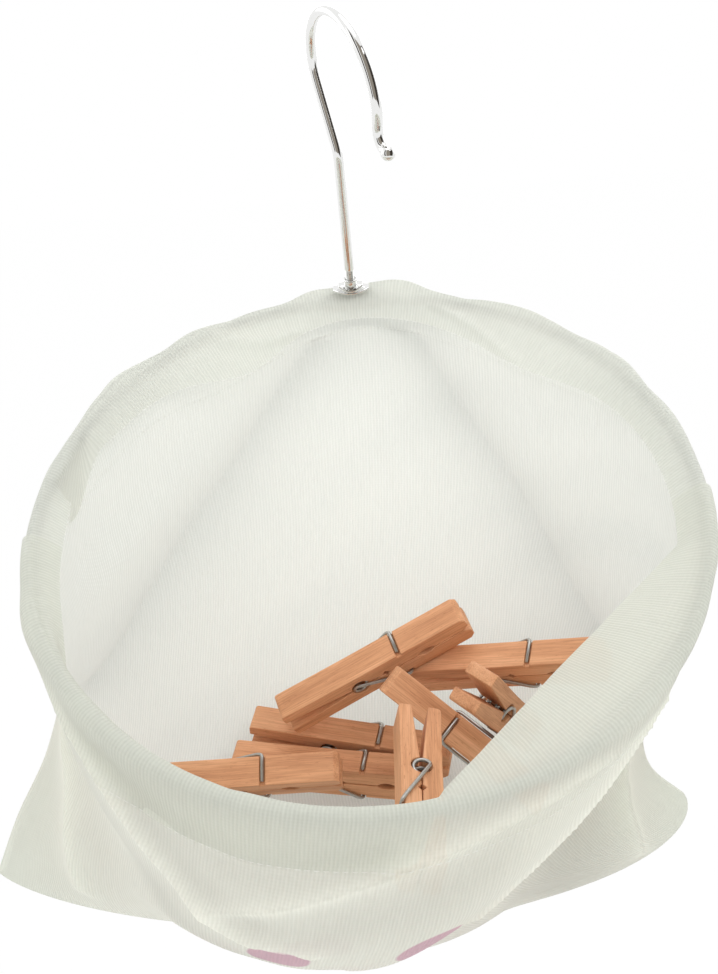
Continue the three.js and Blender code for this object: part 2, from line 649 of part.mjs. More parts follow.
// Pegs come to rest one after another on the cloth and on each other
const springLine = springPath();
const upperHalf = welded(halfGeometry());
const lowerHalf = upperHalf.clone().rotateX(Math.PI);
const spring = sweep(springLine, springLine.map(() => SPRING_WIRE / 2), SPRING_SIDES);
const pegPieces = [upperHalf, lowerHalf, spring];
const still = new THREE.Matrix4();
const lying = [outline(frontPanel, still), outline(backPanel, still)];

PEGS.forEach(({ x, y, heading, pitch, roll }, i) => {
  const name = 'peg_' + (i + 1);
  const peg = new THREE.Group();
  peg.rotation.set(degToRad(roll), -degToRad(pitch), degToRad(heading), 'ZYX');
  peg.position.set(x * RING_RADIUS, y * RING_RADIUS, 0);
  peg.updateMatrix();
  const falling = pegPieces.map((piece) => outline(piece, peg.matrix));
  const drops = falling.flatMap((piece) => lying.map((other) => dropOnto(piece, other)));
  peg.position.z = REST_GAP - Math.min(...drops);
  peg.updateMatrix();
  lying.push(...pegPieces.map((piece) => outline(piece, peg.matrix)));
  peg.add(named(name + '_upper_half', upperHalf.clone(), wood()));
  peg.add(named(name + '_lower_half', lowerHalf.clone(), wood()));
  peg.add(named(name + '_spring', spring.clone(), steel()));
  bagGroup.add(peg);
});

// The hang point is the inner side of the loop where it is highest
const loopAcross = ringRight.clone().multiplyScalar(Math.cos(degToRad(HOOK_TURN)));
loopAcross.addScaledVector(ringBack, -Math.sin(degToRad(HOOK_TURN)));
const highest = ringUp.clone().multiplyScalar(ringUp.z).addScaledVector(loopAcross, loopAcross.z).normalize();
const hangPoint = ringAt(Math.PI / 2).addScaledVector(ringUp, LOOP_HEIGHT);
hangPoint.addScaledVector(loopAcross, LOOP_OFFSET).addScaledVector(highest, LOOP_RADIUS - hookRadius);
bagGroup.position.copy(hangPoint).negate();
peg_bag.add(bagGroup);

console.log('least gap between turns of a peg spring, mm:', leastSelfGap(springLine, SPRING_WIRE).toFixed(2));

export default peg_bag;
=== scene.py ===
"""Peg bag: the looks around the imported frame. Millimetres about the ring's centre until a mesh is made."""
import json
import math
import random

import bmesh
import bpy
import numpy as np
from mathutils import Matrix, Vector


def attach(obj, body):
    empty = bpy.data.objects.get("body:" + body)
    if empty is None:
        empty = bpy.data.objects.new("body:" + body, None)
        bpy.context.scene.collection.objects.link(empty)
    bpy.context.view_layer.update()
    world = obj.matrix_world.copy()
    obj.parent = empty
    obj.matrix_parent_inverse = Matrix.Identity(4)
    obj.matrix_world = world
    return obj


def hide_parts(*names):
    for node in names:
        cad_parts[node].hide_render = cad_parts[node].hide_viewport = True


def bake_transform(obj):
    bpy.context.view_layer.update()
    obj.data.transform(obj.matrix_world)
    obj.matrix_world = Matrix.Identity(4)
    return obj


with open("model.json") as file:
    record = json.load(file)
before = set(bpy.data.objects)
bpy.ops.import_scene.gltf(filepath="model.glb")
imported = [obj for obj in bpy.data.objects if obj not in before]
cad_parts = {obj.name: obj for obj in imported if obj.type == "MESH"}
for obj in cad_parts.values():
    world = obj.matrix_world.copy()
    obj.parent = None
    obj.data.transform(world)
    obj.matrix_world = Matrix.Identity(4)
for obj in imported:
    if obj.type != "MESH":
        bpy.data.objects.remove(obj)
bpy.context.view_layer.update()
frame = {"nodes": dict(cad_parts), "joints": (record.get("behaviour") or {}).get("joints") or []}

MM_IN_METRE = 1000

# Sizes shared with the solids, in mm
RING_RADIUS = 102
RING_WIRE = 3.6
RING_TILT = math.radians(30)
HOOK_WIRE = 3.3
HOOK_TURN = math.radians(64)
STEM_LENGTH = 62
BEND_RADIUS = 14
LOOP_RADIUS = 21.4
LOOP_HEIGHT = 92
LOOP_OFFSET = 8.6
LOOP_END = math.radians(-12)
TIP_REACH = 5.8
TIP_DROP = 5.9
TIP_BALL = 4.6
STEM_FOOT = 4.1
CLIP_WIDTH = 6
CLIP_END_WIDTH = 2.6
CLIP_SHEET = 0.6
# Each clip's length, the rise of its wings and its height above the middle of the ring's wire
BASE_CLIP = (12.6, 0.8, 6.06)
UPPER_CLIP = (8.2, 1.5, 6.96)
STEM_COLLAR = 4.8
STEM_COLLAR_HEIGHT = 2.4
STEM_COLLAR_BASE = 8.38
CLIP_HOLE = 1.95
STEM_COLLAR_HOLE = 1.8
CLOTH = 0.8
CLOTH_GAP = 0.4
HEM_DEPTH = 15
CASING_PLAY = 0.5
JOINER_CASING = 4.96
CASING_SWELL_REACH = 11
MOUTH_FULLNESS = 0.5
SEAM_FULLNESS = 0.6
FULLNESS_FADE = 1.5
FOLD_SOFTNESS = 0.4
EAR_POWER = 8
# Walls below the ring in shares of its radius, from the mouth to the bottom seam.
# They are the solids' own, but for the foot of the right seam, which stands higher here, as in the photo
LEFT_SEAM = [(-0.99, -0.03, -0.18), (-0.97, -0.03, -0.41), (-1.04, -0.08, -0.65), (-1.16, -0.11, -0.86),
             (-1.25, -0.12, -1.05)]
RIGHT_SEAM = [(0.98, -0.03, -0.18), (0.89, -0.04, -0.47), (0.8, -0.08, -0.73), (0.82, -0.1, -0.85),
              (0.92, -0.11, -0.95)]
FRONT_WALL = [(-0.04, -0.9, -0.67), (-0.08, -0.89, -0.84), (-0.12, -0.78, -1), (-0.13, -0.59, -1.14),
              (-0.05, -0.39, -1.25), (0.06, -0.18, -1.3)]
BACK_WALL = [(0, 0.86, 0.2), (-0.02, 0.85, -0.25), (-0.06, 0.8, -0.61), (-0.1, 0.68, -0.94),
             (-0.1, 0.45, -1.12), (-0.04, 0.14, -1.23), (0.06, -0.18, -1.3)]
# How much of the way to the seam the belly takes, at even steps down the wall, to the left and to the right.
# The front's right side is fuller here than in the solids, as in the photo
FRONT_BELLY = ([1, 0.97, 0.89, 0.85, 0.88, 1], [1, 0.9, 0.76, 0.7, 0.8, 1])
BACK_BELLY = ([1, 1, 1, 0.97, 0.95, 1],) * 2
PEG_WIDTH = 10
PEG_LENGTH = 72
PEG_HALF = 6.4
FACE_GAP = 0.15
HANDLE_LENGTH = 29
HANDLE_TIP = 4.2
HANDLE_RISE = 0.5
HANDLE_ROUND = 1.6
JAW_CHAMFER = 1.6
JAW_ENTRY = 2.6
GRIP_PLACE = 26
GRIP_LENGTH = 6.6
GRIP_DEPTH = 1.3
NOTCH_PLACE = 10
NOTCH_DEPTH = 1.2
GROOVE_PLACE = 17.5
GROOVE_DEPTH = 1.1
GROOVE_HALF = 0.9
COIL_SEAT = 3.3
SPRING_WIRE = 1.2
COIL_RADIUS = 2.4
COIL_TURNS = 3
ARM_HEIGHT = 6.2
ARM_SIDE = 5.9
SPRING_BEND = 1.3
SPRING_END_SHORT = 1.4
# Heading of the jaws, their pitch upwards and the roll of the upper face, in degrees
PEG_TURNS = [(-9, -5, 18), (-11, -8, 24), (-4, 2, 45), (164, 40, -60), (70, -38, 26), (-24, 10, 34),
             (2, 26, 34), (-92, -10, 75)]

# Places
joints = {j["name"]: j for j in frame["joints"]}
hook_base = np.array(joints["hook_swivel"]["pos_m"]) * MM_IN_METRE
ring_right = np.array([1.0, 0, 0])
ring_back = np.array([0, math.cos(RING_TILT), math.sin(RING_TILT)])
ring_up = np.array([0, -math.sin(RING_TILT), math.cos(RING_TILT)])
ring_centre = hook_base - RING_RADIUS * ring_back


def metres(points):
    return (np.asarray(points, float) + ring_centre) / MM_IN_METRE


def lerp(a, b, t):
    return a + (b - a) * t


def smooth(x, lo=0.0, hi=1.0):
    t = np.clip((np.asarray(x, float) - lo) / (hi - lo), 0, 1)
    return t * t * (3 - 2 * t)


def unit(v):
    return v / np.linalg.norm(v, axis=-1, keepdims=True)


# Mesh helpers
def mesh_object(name, points, faces, smooth_shade=True):
    mesh = bpy.data.meshes.new(name)
    mesh.from_pydata([tuple(p) for p in points], [], faces)
    mesh.validate()
    mesh.update()
    if smooth_shade:
        mesh.shade_smooth()
    obj = bpy.data.objects.new(name, mesh)
    bpy.context.scene.collection.objects.link(obj)
    return obj


def grid_faces(columns, rows, wrap=False):
    faces = []
    for i in range(columns if wrap else columns - 1):
        k = (i + 1) % columns
        for j in range(rows - 1):
            faces.append((i * rows + j, k * rows + j, k * rows + j + 1, i * rows + j + 1))
    return faces


def tube(path, radii, sides, phase=None):
    """Points and faces of a tube along a path with closed ends; phase shapes each ring round the wire."""
    path = np.asarray(path, float)
    count = len(path)
    ahead = path[np.minimum(np.arange(count) + 1, count - 1)]
    behind = path[np.maximum(np.arange(count) - 1, 0)]
    ways = unit(ahead - behind)
    start = np.array([0, 1.0, 0]) if abs(ways[0][1]) < 0.9 else np.array([1.0, 0, 0])
    side = unit(np.cross(start, ways[0]))
    turns = np.linspace(0, 2 * math.pi, sides, endpoint=False)
    points = []
    for i in range(count):
        side = unit(side - ways[i] * (side @ ways[i]))
        across = np.cross(ways[i], side)
        ring = np.full(sides, radii[i]) if phase is None else radii[i] + phase(i, turns)
        spokes = np.cos(turns)[:, None] * side + np.sin(turns)[:, None] * across
        points.append(path[i] + ring[:, None] * spokes)
    points = np.concatenate(points)
    faces = []
    for i in range(count - 1):
        n = (i + 1) * sides
        for k in range(sides):
            m = (k + 1) % sides
            faces.append((i * sides + k, i * sides + m, n + m, n + k))
    faces.append(tuple(reversed(range(sides))))
    faces.append(tuple(range((count - 1) * sides, count * sides)))
    return points, faces


def bezier2(a, b, c, steps):
    t = np.linspace(0, 1, steps + 1)[:, None]
    return (1 - t) ** 2 * np.asarray(a) + 2 * t * (1 - t) * np.asarray(b) + t ** 2 * np.asarray(c)


class Curve:
    """A centripetal Catmull-Rom curve through points, read by its share of the length."""

    def __init__(self, points, steps=60):
        p = np.asarray(points, float)
        p = np.vstack([2 * p[0] - p[1], p, 2 * p[-1] - p[-2]])
        knots = np.sqrt(np.linalg.norm(np.diff(p, axis=0), axis=1))
        fine = []
        for i in range(1, len(p) - 2):
            d0, d1, d2 = knots[i - 1], knots[i], knots[i + 1]
            t1 = ((p[i] - p[i - 1]) / d0 - (p[i + 1] - p[i - 1]) / (d0 + d1) + (p[i + 1] - p[i]) / d1) * d1
            t2 = ((p[i + 1] - p[i]) / d1 - (p[i + 2] - p[i]) / (d1 + d2) + (p[i + 2] - p[i + 1]) / d2) * d1
            t = np.linspace(0, 1, steps, endpoint=False)[:, None]
            a, b = p[i], p[i + 1]
            fine.append(a + t1 * t + (3 * (b - a) - 2 * t1 - t2) * t ** 2 + (2 * (a - b) + t1 + t2) * t ** 3)
        self.points = np.vstack(fine + [p[-2][None]])
        self.travel = np.concatenate([[0], np.cumsum(np.linalg.norm(np.diff(self.points, axis=0), axis=1))])
        self.length = self.travel[-1]

    def at(self, share):
        place = np.clip(np.asarray(share, float), 0, 1) * self.length
        return np.stack([np.interp(place, self.travel, self.points[:, k]) for k in range(3)], -1)


# Materials
def new_material(name):
    material = bpy.data.materials.new(name)
    material.use_nodes = True
    material.node_tree.nodes.clear()
    return material, material.node_tree


def node(tree, kind, **values):
    """A new shader node. Each value is one of its settings, a socket to link from, or a number or colour."""
    made = tree.nodes.new("ShaderNode" + kind)
    for key, value in values.items():
        if hasattr(made, key):
            setattr(made, key, value)
        elif isinstance(value, bpy.types.NodeSocket):
            tree.links.new(value, made.inputs[key.replace("_", " ")])
        else:
            made.inputs[key.replace("_", " ")].default_value = value
    return made


def ramp(tree, source, stops):
    made = node(tree, "ValToRGB", Fac=source)
    elements = made.color_ramp.elements
    while len(elements) < len(stops):
        elements.new(0.5)
    for element, (place, colour) in zip(elements, stops):
        element.position = place
        element.color = (*colour, 1)
    return made.outputs["Color"]


def fill(tree, socket, value):
    if isinstance(value, (int, float)):
        socket.default_value = value
    elif isinstance(value, tuple):
        socket.default_value = (*value, 1)
    else:
        tree.links.new(value, socket)


def maths(tree, operation, *values, clamp=False):
    made = node(tree, "Math", operation=operation, use_clamp=clamp)
    for socket, value in zip(made.inputs, values):
        fill(tree, socket, value)
    return made.outputs[0]


def mix_colour(tree, factor, a, b, blend="MIX"):
    made = node(tree, "Mix", data_type="RGBA", blend_type=blend)
    for key, value in (("Factor", factor), ("A", a), ("B", b)):
        fill(tree, [s for s in made.inputs if s.name == key and s.enabled][0], value)
    return [s for s in made.outputs if s.enabled][0]


def mix_shaders(tree, factor, first, second):
    made = node(tree, "MixShader")
    fill(tree, made.inputs[0], factor)
    tree.links.new(first.outputs[0], made.inputs[1])
    tree.links.new(second.outputs[0], made.inputs[2])
    return made


def surface(tree, shader, kind="OutputMaterial"):
    tree.links.new(shader.outputs[0], node(tree, kind).inputs["Surface"])


# The print, plain dots in staggered rows, in metres on the cloth: spacing, size, first row, reach to the
# sides. Then how crisp the edge is and how much of the cloth's colour it covers
DOT_SPACING = 0.044
DOT_ROW_PITCH = 0.03
DOT_WIDTH = 0.02
DOTS_START = 0.041
DOTS_REACH = 0.055
DOT_EDGE = 6.0
PRINT_COVER = 0.8
PRINT_PINK = (0.62, 0.34, 0.46)
# The weave: pitch of the ribs and cross threads and wander of the ribs in metres, then how much each shows
RIB_PITCH = 0.00112
CROSS_PITCH = 0.0009
RIB_WANDER = 0.0012
RIB_SHARE = 0.5
CROSS_SHARE = 0.1
SLUB_SHARE = 1.1
SLUB_SCALE = (900, 60, 1)
WEAVE_CONTRAST = 0.28
WEAVE_MIDDLE = 0.36
BLOTCH_SHARE = 0.35
BLOTCH_COLOUR = (0.88, 0.885, 0.815)
# Strength of the painted shade and highlight along folds, how much light comes through the cloth, and how far
# one sees through it
FOLD_PAINTED_SHADE_STRENGTH = 0.2
LIGHT_THROUGH = 0.5
SHEER = 0.17


def cloth_material(name, printed, dark, pale):
    """Semi-sheer plain weave: ribs along the length, cross threads, slubs, light that comes through."""
    material, tree = new_material(name)
    uv = node(tree, "UVMap", uv_map="cut").outputs[0]
    split = node(tree, "SeparateXYZ", Vector=uv)
    rib_bend = node(tree, "TexNoise", Scale=14.0, Detail=2.0, Vector=uv)
    wander = maths(tree, "MULTIPLY", rib_bend.outputs["Fac"], RIB_WANDER)
    across = maths(tree, "ADD", split.outputs[0], wander)
    ribs = maths(tree, "SINE", maths(tree, "MULTIPLY", across, 2 * math.pi / RIB_PITCH))
    threads = maths(tree, "SINE", maths(tree, "MULTIPLY", split.outputs[1], 2 * math.pi / CROSS_PITCH))
    stretch = node(tree, "Mapping", Scale=SLUB_SCALE, Vector=uv)
    slub = node(tree, "TexNoise", Scale=1.0, Detail=4.0, Roughness=0.6, Vector=stretch.outputs[0])
    crossed = maths(tree, "MULTIPLY", threads, CROSS_SHARE)
    weave = maths(tree, "ADD", maths(tree, "MULTIPLY", ribs, RIB_SHARE), crossed)
    weave = maths(tree, "ADD", weave, maths(tree, "MULTIPLY", slub.outputs["Fac"], SLUB_SHARE))
    tone = maths(tree, "MULTIPLY_ADD", weave, WEAVE_CONTRAST, WEAVE_MIDDLE)
    base = ramp(tree, tone, [(0.1, dark), (0.9, pale)])
    blotch = node(tree, "TexNoise", Scale=22.0, Detail=3.0, Vector=uv)
    stain = maths(tree, "MULTIPLY", blotch.outputs["Fac"], BLOTCH_SHARE)
    base = mix_colour(tree, stain, base, BLOTCH_COLOUR)
    if printed:
        base = print_dots(tree, split.outputs[0], split.outputs[1], base)
    # Painted shade and painted highlight: the colour is darkened or lightened along the folds, in place of
    # their shadows and lit edges
    painted_fold_shading = node(tree, "Attribute", attribute_name="painted_fold_shading")
    keep = maths(tree, "SUBTRACT", 1.0, maths(tree, "MULTIPLY", painted_fold_shading.outputs["Fac"], FOLD_PAINTED_SHADE_STRENGTH))
    base = node(tree, "VectorMath", operation="SCALE", Vector=base, Scale=keep).outputs[0]
    bump = node(tree, "Bump", Strength=0.35, Distance=0.0003, Height=weave).outputs[0]
    skin = node(tree, "BsdfPrincipled", Roughness=0.92, Sheen_Weight=0.15, Specular_IOR_Level=0.15,
                Base_Color=base, Normal=bump)
    through = node(tree, "BsdfTranslucent", Color=base, Normal=bump)
    both = mix_shaders(tree, LIGHT_THROUGH, skin, through)
    gaps = maths(tree, "SUBTRACT", SHEER, maths(tree, "MULTIPLY", tone, SHEER), clamp=True)
    surface(tree, mix_shaders(tree, gaps, both, node(tree, "BsdfTransparent")))
    return material


def print_dots(tree, across, down, base):
    """A plain print: pink dots in staggered rows on the middle of the front."""

    def from_middle(place, pitch):
        share = maths(tree, "FRACT", maths(tree, "DIVIDE", place, pitch))
        return maths(tree, "MULTIPLY", maths(tree, "SUBTRACT", share, 0.5), 2 * pitch / DOT_WIDTH)

    below = maths(tree, "SUBTRACT", down, DOTS_START)
    row = maths(tree, "FLOOR", maths(tree, "DIVIDE", below, DOT_ROW_PITCH))
    stagger = maths(tree, "MULTIPLY", row, DOT_SPACING / 2)
    x = from_middle(maths(tree, "ADD", across, stagger), DOT_SPACING)
    y = from_middle(below, DOT_ROW_PITCH)
    far = maths(tree, "ADD", maths(tree, "MULTIPLY", x, x), maths(tree, "MULTIPLY", y, y))
    inside = maths(tree, "MULTIPLY", maths(tree, "SUBTRACT", 1.0, far), DOT_EDGE, clamp=True)
    inside = maths(tree, "MULTIPLY", inside, maths(tree, "GREATER_THAN", below, 0.0))
    aside = maths(tree, "ABSOLUTE", across)
    inside = maths(tree, "MULTIPLY", inside, maths(tree, "LESS_THAN", aside, DOTS_REACH))
    return mix_colour(tree, maths(tree, "MULTIPLY", inside, PRINT_COVER), base, PRINT_PINK)


WOOD_BANDS = [(0.28, (0.60, 0.277, 0.135)), (0.5, (0.77, 0.39, 0.203)), (0.72, (0.88, 0.49, 0.278))]
WOOD_LINES = [(0.3, (0.66, 0.56, 0.47)), (0.62, (1.0, 1.0, 1.0))]
WOOD_FLECKS = [(0.64, (1, 1, 1)), (0.72, (0.70, 0.58, 0.48))]
WOOD_TINTS = [(0.3, (0.86, 0.82, 0.80)), (0.7, (1.1, 1.12, 1.14))]
# Noise of the bands, lines, flecks and tints: its scale along, across and through a peg, detail, roughness
BAND_NOISE = ((14, 190, 230), 3.0, 0.55)
LINE_NOISE = ((70, 1900, 2300), 4.0, 0.65)
FLECK_NOISE = ((420, 2600, 2600), 2.0, 0.5)
TINT_NOISE = ((9, 9, 9), 1.0, 0.5)
LINE_COVER = 0.75
FLECK_COVER = 0.7
TINT_COVER = 0.9
WOOD_ROUGH = 0.48
WOOD_ROUGH_SPAN = 0.2


def wood_material():
    """Bare planed beech: long grain, short dark flecks, warmer and paler streaks."""
    material, tree = new_material("peg_wood")
    moved = node(tree, "VectorMath", operation="ADD")
    tree.links.new(node(tree, "TexCoord").outputs["Object"], moved.inputs[0])
    shift = node(tree, "Attribute", attribute_name="grain_shift")
    tree.links.new(shift.outputs["Vector"], moved.inputs[1])

    def stretched(scale, detail, roughness):
        place = node(tree, "Mapping", Scale=scale, Vector=moved.outputs[0]).outputs[0]
        noise = node(tree, "TexNoise", Scale=1.0, Detail=detail, Roughness=roughness, Vector=place)
        return noise.outputs["Fac"]

    bands = stretched(*BAND_NOISE)
    fine = stretched(*LINE_NOISE)
    base = ramp(tree, bands, WOOD_BANDS)
    base = mix_colour(tree, LINE_COVER, base, ramp(tree, fine, WOOD_LINES), "MULTIPLY")
    spots = ramp(tree, stretched(*FLECK_NOISE), WOOD_FLECKS)
    base = mix_colour(tree, FLECK_COVER, base, spots, "MULTIPLY")
    tint_and_painted_shade = ramp(tree, stretched(*TINT_NOISE), WOOD_TINTS)
    base = mix_colour(tree, TINT_COVER, base, tint_and_painted_shade, "MULTIPLY")
    bump = node(tree, "Bump", Strength=0.3, Distance=0.0002, Height=fine)
    rough = maths(tree, "MULTIPLY_ADD", bands, WOOD_ROUGH_SPAN, WOOD_ROUGH)
    surface(tree, node(tree, "BsdfPrincipled", Specular_IOR_Level=0.35, Roughness=rough, Base_Color=base,
                       Normal=bump.outputs[0]))
    return material


def metal_material(name, colour, rough_lo, rough_hi, scratch, wear):
    """Metal with smudges in its gloss and fine wear; wear is how much of its colour the worn spots keep."""
    material, tree = new_material(name)
    place = node(tree, "TexCoord").outputs["Object"]
    smudge = node(tree, "TexNoise", Scale=160.0, Detail=5.0, Roughness=0.65, Vector=place)
    worn = node(tree, "TexNoise", Scale=900.0, Detail=3.0, Vector=place).outputs["Fac"]
    shade = ramp(tree, worn, [(0.3, tuple(c * wear for c in colour)), (0.6, colour)])
    rough = maths(tree, "MULTIPLY_ADD", smudge.outputs["Fac"], rough_hi - rough_lo, rough_lo)
    bump = node(tree, "Bump", Strength=scratch, Distance=0.0001, Height=worn)
    surface(tree, node(tree, "BsdfPrincipled", Metallic=1.0, Base_Color=shade, Roughness=rough,
                       Normal=bump.outputs[0]))
    return material


def thread_material():
    material, tree = new_material("sewing_thread")
    place = node(tree, "TexCoord").outputs["Object"]
    twist = node(tree, "TexWave", Scale=1400.0, Distortion=1.5, Vector=place)
    base = ramp(tree, twist.outputs["Fac"], [(0.2, (0.80, 0.80, 0.76)), (0.8, (0.93, 0.93, 0.90))])
    surface(tree, node(tree, "BsdfPrincipled", Roughness=0.8, Base_Color=base))
    return material


# The front's copy of the cloth is painted a little darker than the back's: painted shade on the same cloth,
# as the front's outside lies in less light
cloth_front_painted_shade = cloth_material("cloth_front_painted_shade", True, (0.745, 0.766, 0.686), (0.905, 0.922, 0.855))
cloth_back = cloth_material("cloth_back", False, (0.76, 0.78, 0.715), (0.95, 0.962, 0.915))
peg_wood = wood_material()
chrome = metal_material("chrome", (0.86, 0.86, 0.85), 0.04, 0.1, 0.004, 0.97)
zinc = metal_material("zinc_plate", (0.62, 0.62, 0.60), 0.25, 0.42, 0.1, 0.86)
spring_steel = metal_material("spring_steel", (0.50, 0.49, 0.47), 0.22, 0.45, 0.15, 0.86)
thread = thread_material()


def finish_piece(obj, material, slot, body, *nodes):
    obj.data.materials.clear()
    obj.data.materials.append(material)
    if body:
        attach(obj, body)
    if nodes:
        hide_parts(*nodes)
    return obj


# Hook and what holds it
loop_across = math.cos(HOOK_TURN) * ring_right - math.sin(HOOK_TURN) * ring_back
hook_side = np.cross(ring_up, loop_across)
hook_frame = np.stack([loop_across, hook_side, ring_up], 1)
clip_frame = np.stack([ring_right, ring_back, ring_up], 1)
# The screw thread on the stem, in mm, and the steps of the hook's mesh
THREAD_PITCH = 0.55
THREAD_DEPTH = 0.16
THREAD_BASE = STEM_COLLAR_BASE + STEM_COLLAR_HEIGHT
THREAD_TOP = 15.5
THREAD_FADE = 1.2
THREAD_RINGS = 8
STEM_RINGS = (20, 30, 40, 50)
HOOK_SIDES = 32
BEND_STEPS = 12
LOOP_RINGS = 73
BALL_RINGS = 17
BALL_CLOSE = 0.06


def hook_points(points):
    return metres(np.asarray(points) @ hook_frame.T + RING_RADIUS * ring_back)


def clip_points(points):
    return metres(np.asarray(points) @ clip_frame.T + RING_RADIUS * ring_back)


def loop_point(angle):
    across = LOOP_OFFSET + LOOP_RADIUS * math.cos(angle)
    return np.array([across, 0, LOOP_HEIGHT + LOOP_RADIUS * math.sin(angle)])


def make_hook():
    foot, neck = np.array([0, 0, -STEM_FOOT]), np.array([0, 0, STEM_LENGTH])
    to_centre = np.array([LOOP_OFFSET, 0, LOOP_HEIGHT]) - neck
    lean = math.atan2(to_centre[2], to_centre[0]) + math.asin(LOOP_RADIUS / np.linalg.norm(to_centre))
    start = lean + math.pi / 2
    out = unit(loop_point(start) - neck)
    into = np.array([0, 0, 1.0])
    reach = BEND_RADIUS * math.tan(math.acos(np.clip(into @ out, -1, 1)) / 2)
    thread_steps = int((THREAD_TOP - THREAD_BASE) / THREAD_PITCH * THREAD_RINGS)
    stem = [foot]
    stem += [np.array([0, 0, z]) for z in np.linspace(THREAD_BASE, THREAD_TOP, thread_steps)]
    stem += [np.array([0, 0, z]) for z in STEM_RINGS]
    path = stem + list(bezier2(neck - into * reach, neck, neck + out * reach, BEND_STEPS))
    path += [loop_point(a) for a in np.linspace(start, LOOP_END, LOOP_RINGS)]
    radius, ball_radius = HOOK_WIRE / 2, TIP_BALL / 2
    end = path[-1]
    ball = np.array([end[0] + TIP_REACH, 0, end[2] - TIP_DROP])
    flare = np.array([end[0], 0, ball[2]])
    way = unit(ball - flare)
    neck_angle = math.pi - math.asin(radius / ball_radius)
    path += list(bezier2(end, flare, ball + way * ball_radius * math.cos(neck_angle), BEND_STEPS)[1:])
    radii = [radius] * len(path)
    for angle in np.linspace(neck_angle, BALL_CLOSE, BALL_RINGS)[1:]:
        path.append(ball + way * ball_radius * math.cos(angle))
        radii.append(ball_radius * math.sin(angle))
    heights = [p[2] for p in path]

    def thread_shape(i, turns):
        if i >= len(stem) or heights[i] < STEM_COLLAR_BASE:
            return np.zeros_like(turns)
        fade = 1 - smooth(heights[i], THREAD_TOP - THREAD_FADE, THREAD_TOP)
        wave = np.abs(((heights[i] / THREAD_PITCH - turns / (2 * math.pi)) % 1) * 2 - 1)
        return -THREAD_DEPTH * fade * wave

    points, faces = tube(path, radii, HOOK_SIDES, thread_shape)
    return mesh_object("hook_wire", hook_points(points), faces)


CLIP_TURNS = 96
CLIP_RINGS = 7
OUTLINE_HALVINGS = 30
CLIP_EDGE = 0.00012
CLIP_EDGE_ANGLE = math.radians(50)


def clip_outline(length, angle):
    """How far the clip reaches from its hole in one direction, found by halving."""
    lo, hi = 0.0, length
    for _ in range(OUTLINE_HALVINGS):
        r = (lo + hi) / 2
        x, y = abs(r * math.cos(angle)), abs(r * math.sin(angle))
        half = lerp(CLIP_WIDTH, CLIP_END_WIDTH, min(1, (2 * x / length) ** 2)) / 2
        inside = x < length / 2 and y < half
        lo, hi = (r, hi) if inside else (lo, r)
    return lo


def make_clip(name, length, rise, height):
    turns = np.linspace(0, 2 * math.pi, CLIP_TURNS, endpoint=False)
    points = []
    for angle in turns:
        outer = clip_outline(length, angle)
        for k in range(CLIP_RINGS):
            r = lerp(CLIP_HOLE, outer, k / (CLIP_RINGS - 1))
            x, y = r * math.cos(angle), r * math.sin(angle)
            points.append((x, y, height + rise * (2 * x / length) ** 2))
    obj = mesh_object(name, clip_points(points), grid_faces(len(turns), CLIP_RINGS, wrap=True))
    thick = obj.modifiers.new("sheet", "SOLIDIFY")
    thick.thickness = CLIP_SHEET / MM_IN_METRE
    thick.offset = 1
    edge = obj.modifiers.new("edge", "BEVEL")
    edge.width = CLIP_EDGE
    edge.segments = 2
    edge.limit_method = "ANGLE"
    edge.angle_limit = CLIP_EDGE_ANGLE
    return obj


STEM_COLLAR_TURNS = 64
STEM_COLLAR_LIP = 0.35
STEM_COLLAR_ROUND = 0.1
STEM_COLLAR_ENTRY = 0.15


def make_collar():
    r, hole, height = STEM_COLLAR / 2, STEM_COLLAR_HOLE, STEM_COLLAR_HEIGHT
    lip, rounded = STEM_COLLAR_LIP, STEM_COLLAR_ROUND
    profile = [(hole, 0), (r - lip, 0), (r - rounded, rounded), (r, lip), (r, height - lip),
               (r - rounded, height - rounded), (r - lip, height), (hole + STEM_COLLAR_ENTRY, height),
               (hole, height - STEM_COLLAR_ENTRY)]
    turns = np.linspace(0, 2 * math.pi, STEM_COLLAR_TURNS, endpoint=False)
    points = [(a * math.cos(t), a * math.sin(t), STEM_COLLAR_BASE + h) for t in turns for a, h in profile]
    count = len(profile)
    faces = grid_faces(len(turns), count, wrap=True)
    for i in range(len(turns)):
        k = (i + 1) % len(turns)
        faces.append((i * count + count - 1, k * count + count - 1, k * count, i * count))
    return mesh_object("collar", hook_points(points), faces)


finish_piece(make_hook(), chrome, "chrome", "hook", "hook")
finish_piece(make_collar(), chrome, "chrome", "hook", "hook_collar")
finish_piece(make_clip("base_spring_clip", *BASE_CLIP), chrome, "chrome", "bag", "base_clip")
finish_piece(make_clip("upper_spring_clip", *UPPER_CLIP), chrome, "chrome", "bag", "upper_clip")


RING_END_GAP = 3.3
RING_STEPS = 180
RING_SIDES = 14


def make_ring():
    gap = RING_END_GAP / RING_RADIUS
    angles = math.pi / 2 + np.linspace(gap, 2 * math.pi - gap, RING_STEPS)
    path = RING_RADIUS * (np.cos(angles)[:, None] * ring_right + np.sin(angles)[:, None] * ring_back)
    points, faces = tube(path, [RING_WIRE / 2] * len(path), RING_SIDES)
    return mesh_object("ring_bar", metres(points), faces)


finish_piece(make_ring(), zinc, "steel", "bag", "ring_wire")
for name in ("ring_joiner", "hook_nut"):
    frame["nodes"][name].data.materials.clear()
    frame["nodes"][name].data.materials.append(zinc)

# Cloth
COLUMNS = 200
# Swellings of the rim: angle on the ring and width in degrees, height in mm
RIM_LUMPS = [(141, 9, 2.8), (123, 5, 2.2), (79, 6, 3.2), (54, 8, 2.0), (34, 7, 2.2), (12, 9, 1.2),
             (-48, 9, 1.2), (196, 8, 1.8), (222, 9, 1.0)]
# They are highest a little below the rim and fade from there; the inside keeps a share of them, in mm
LUMP_PLACE = 5
LUMP_REACH = 11
INNER_SHARE = 0.4
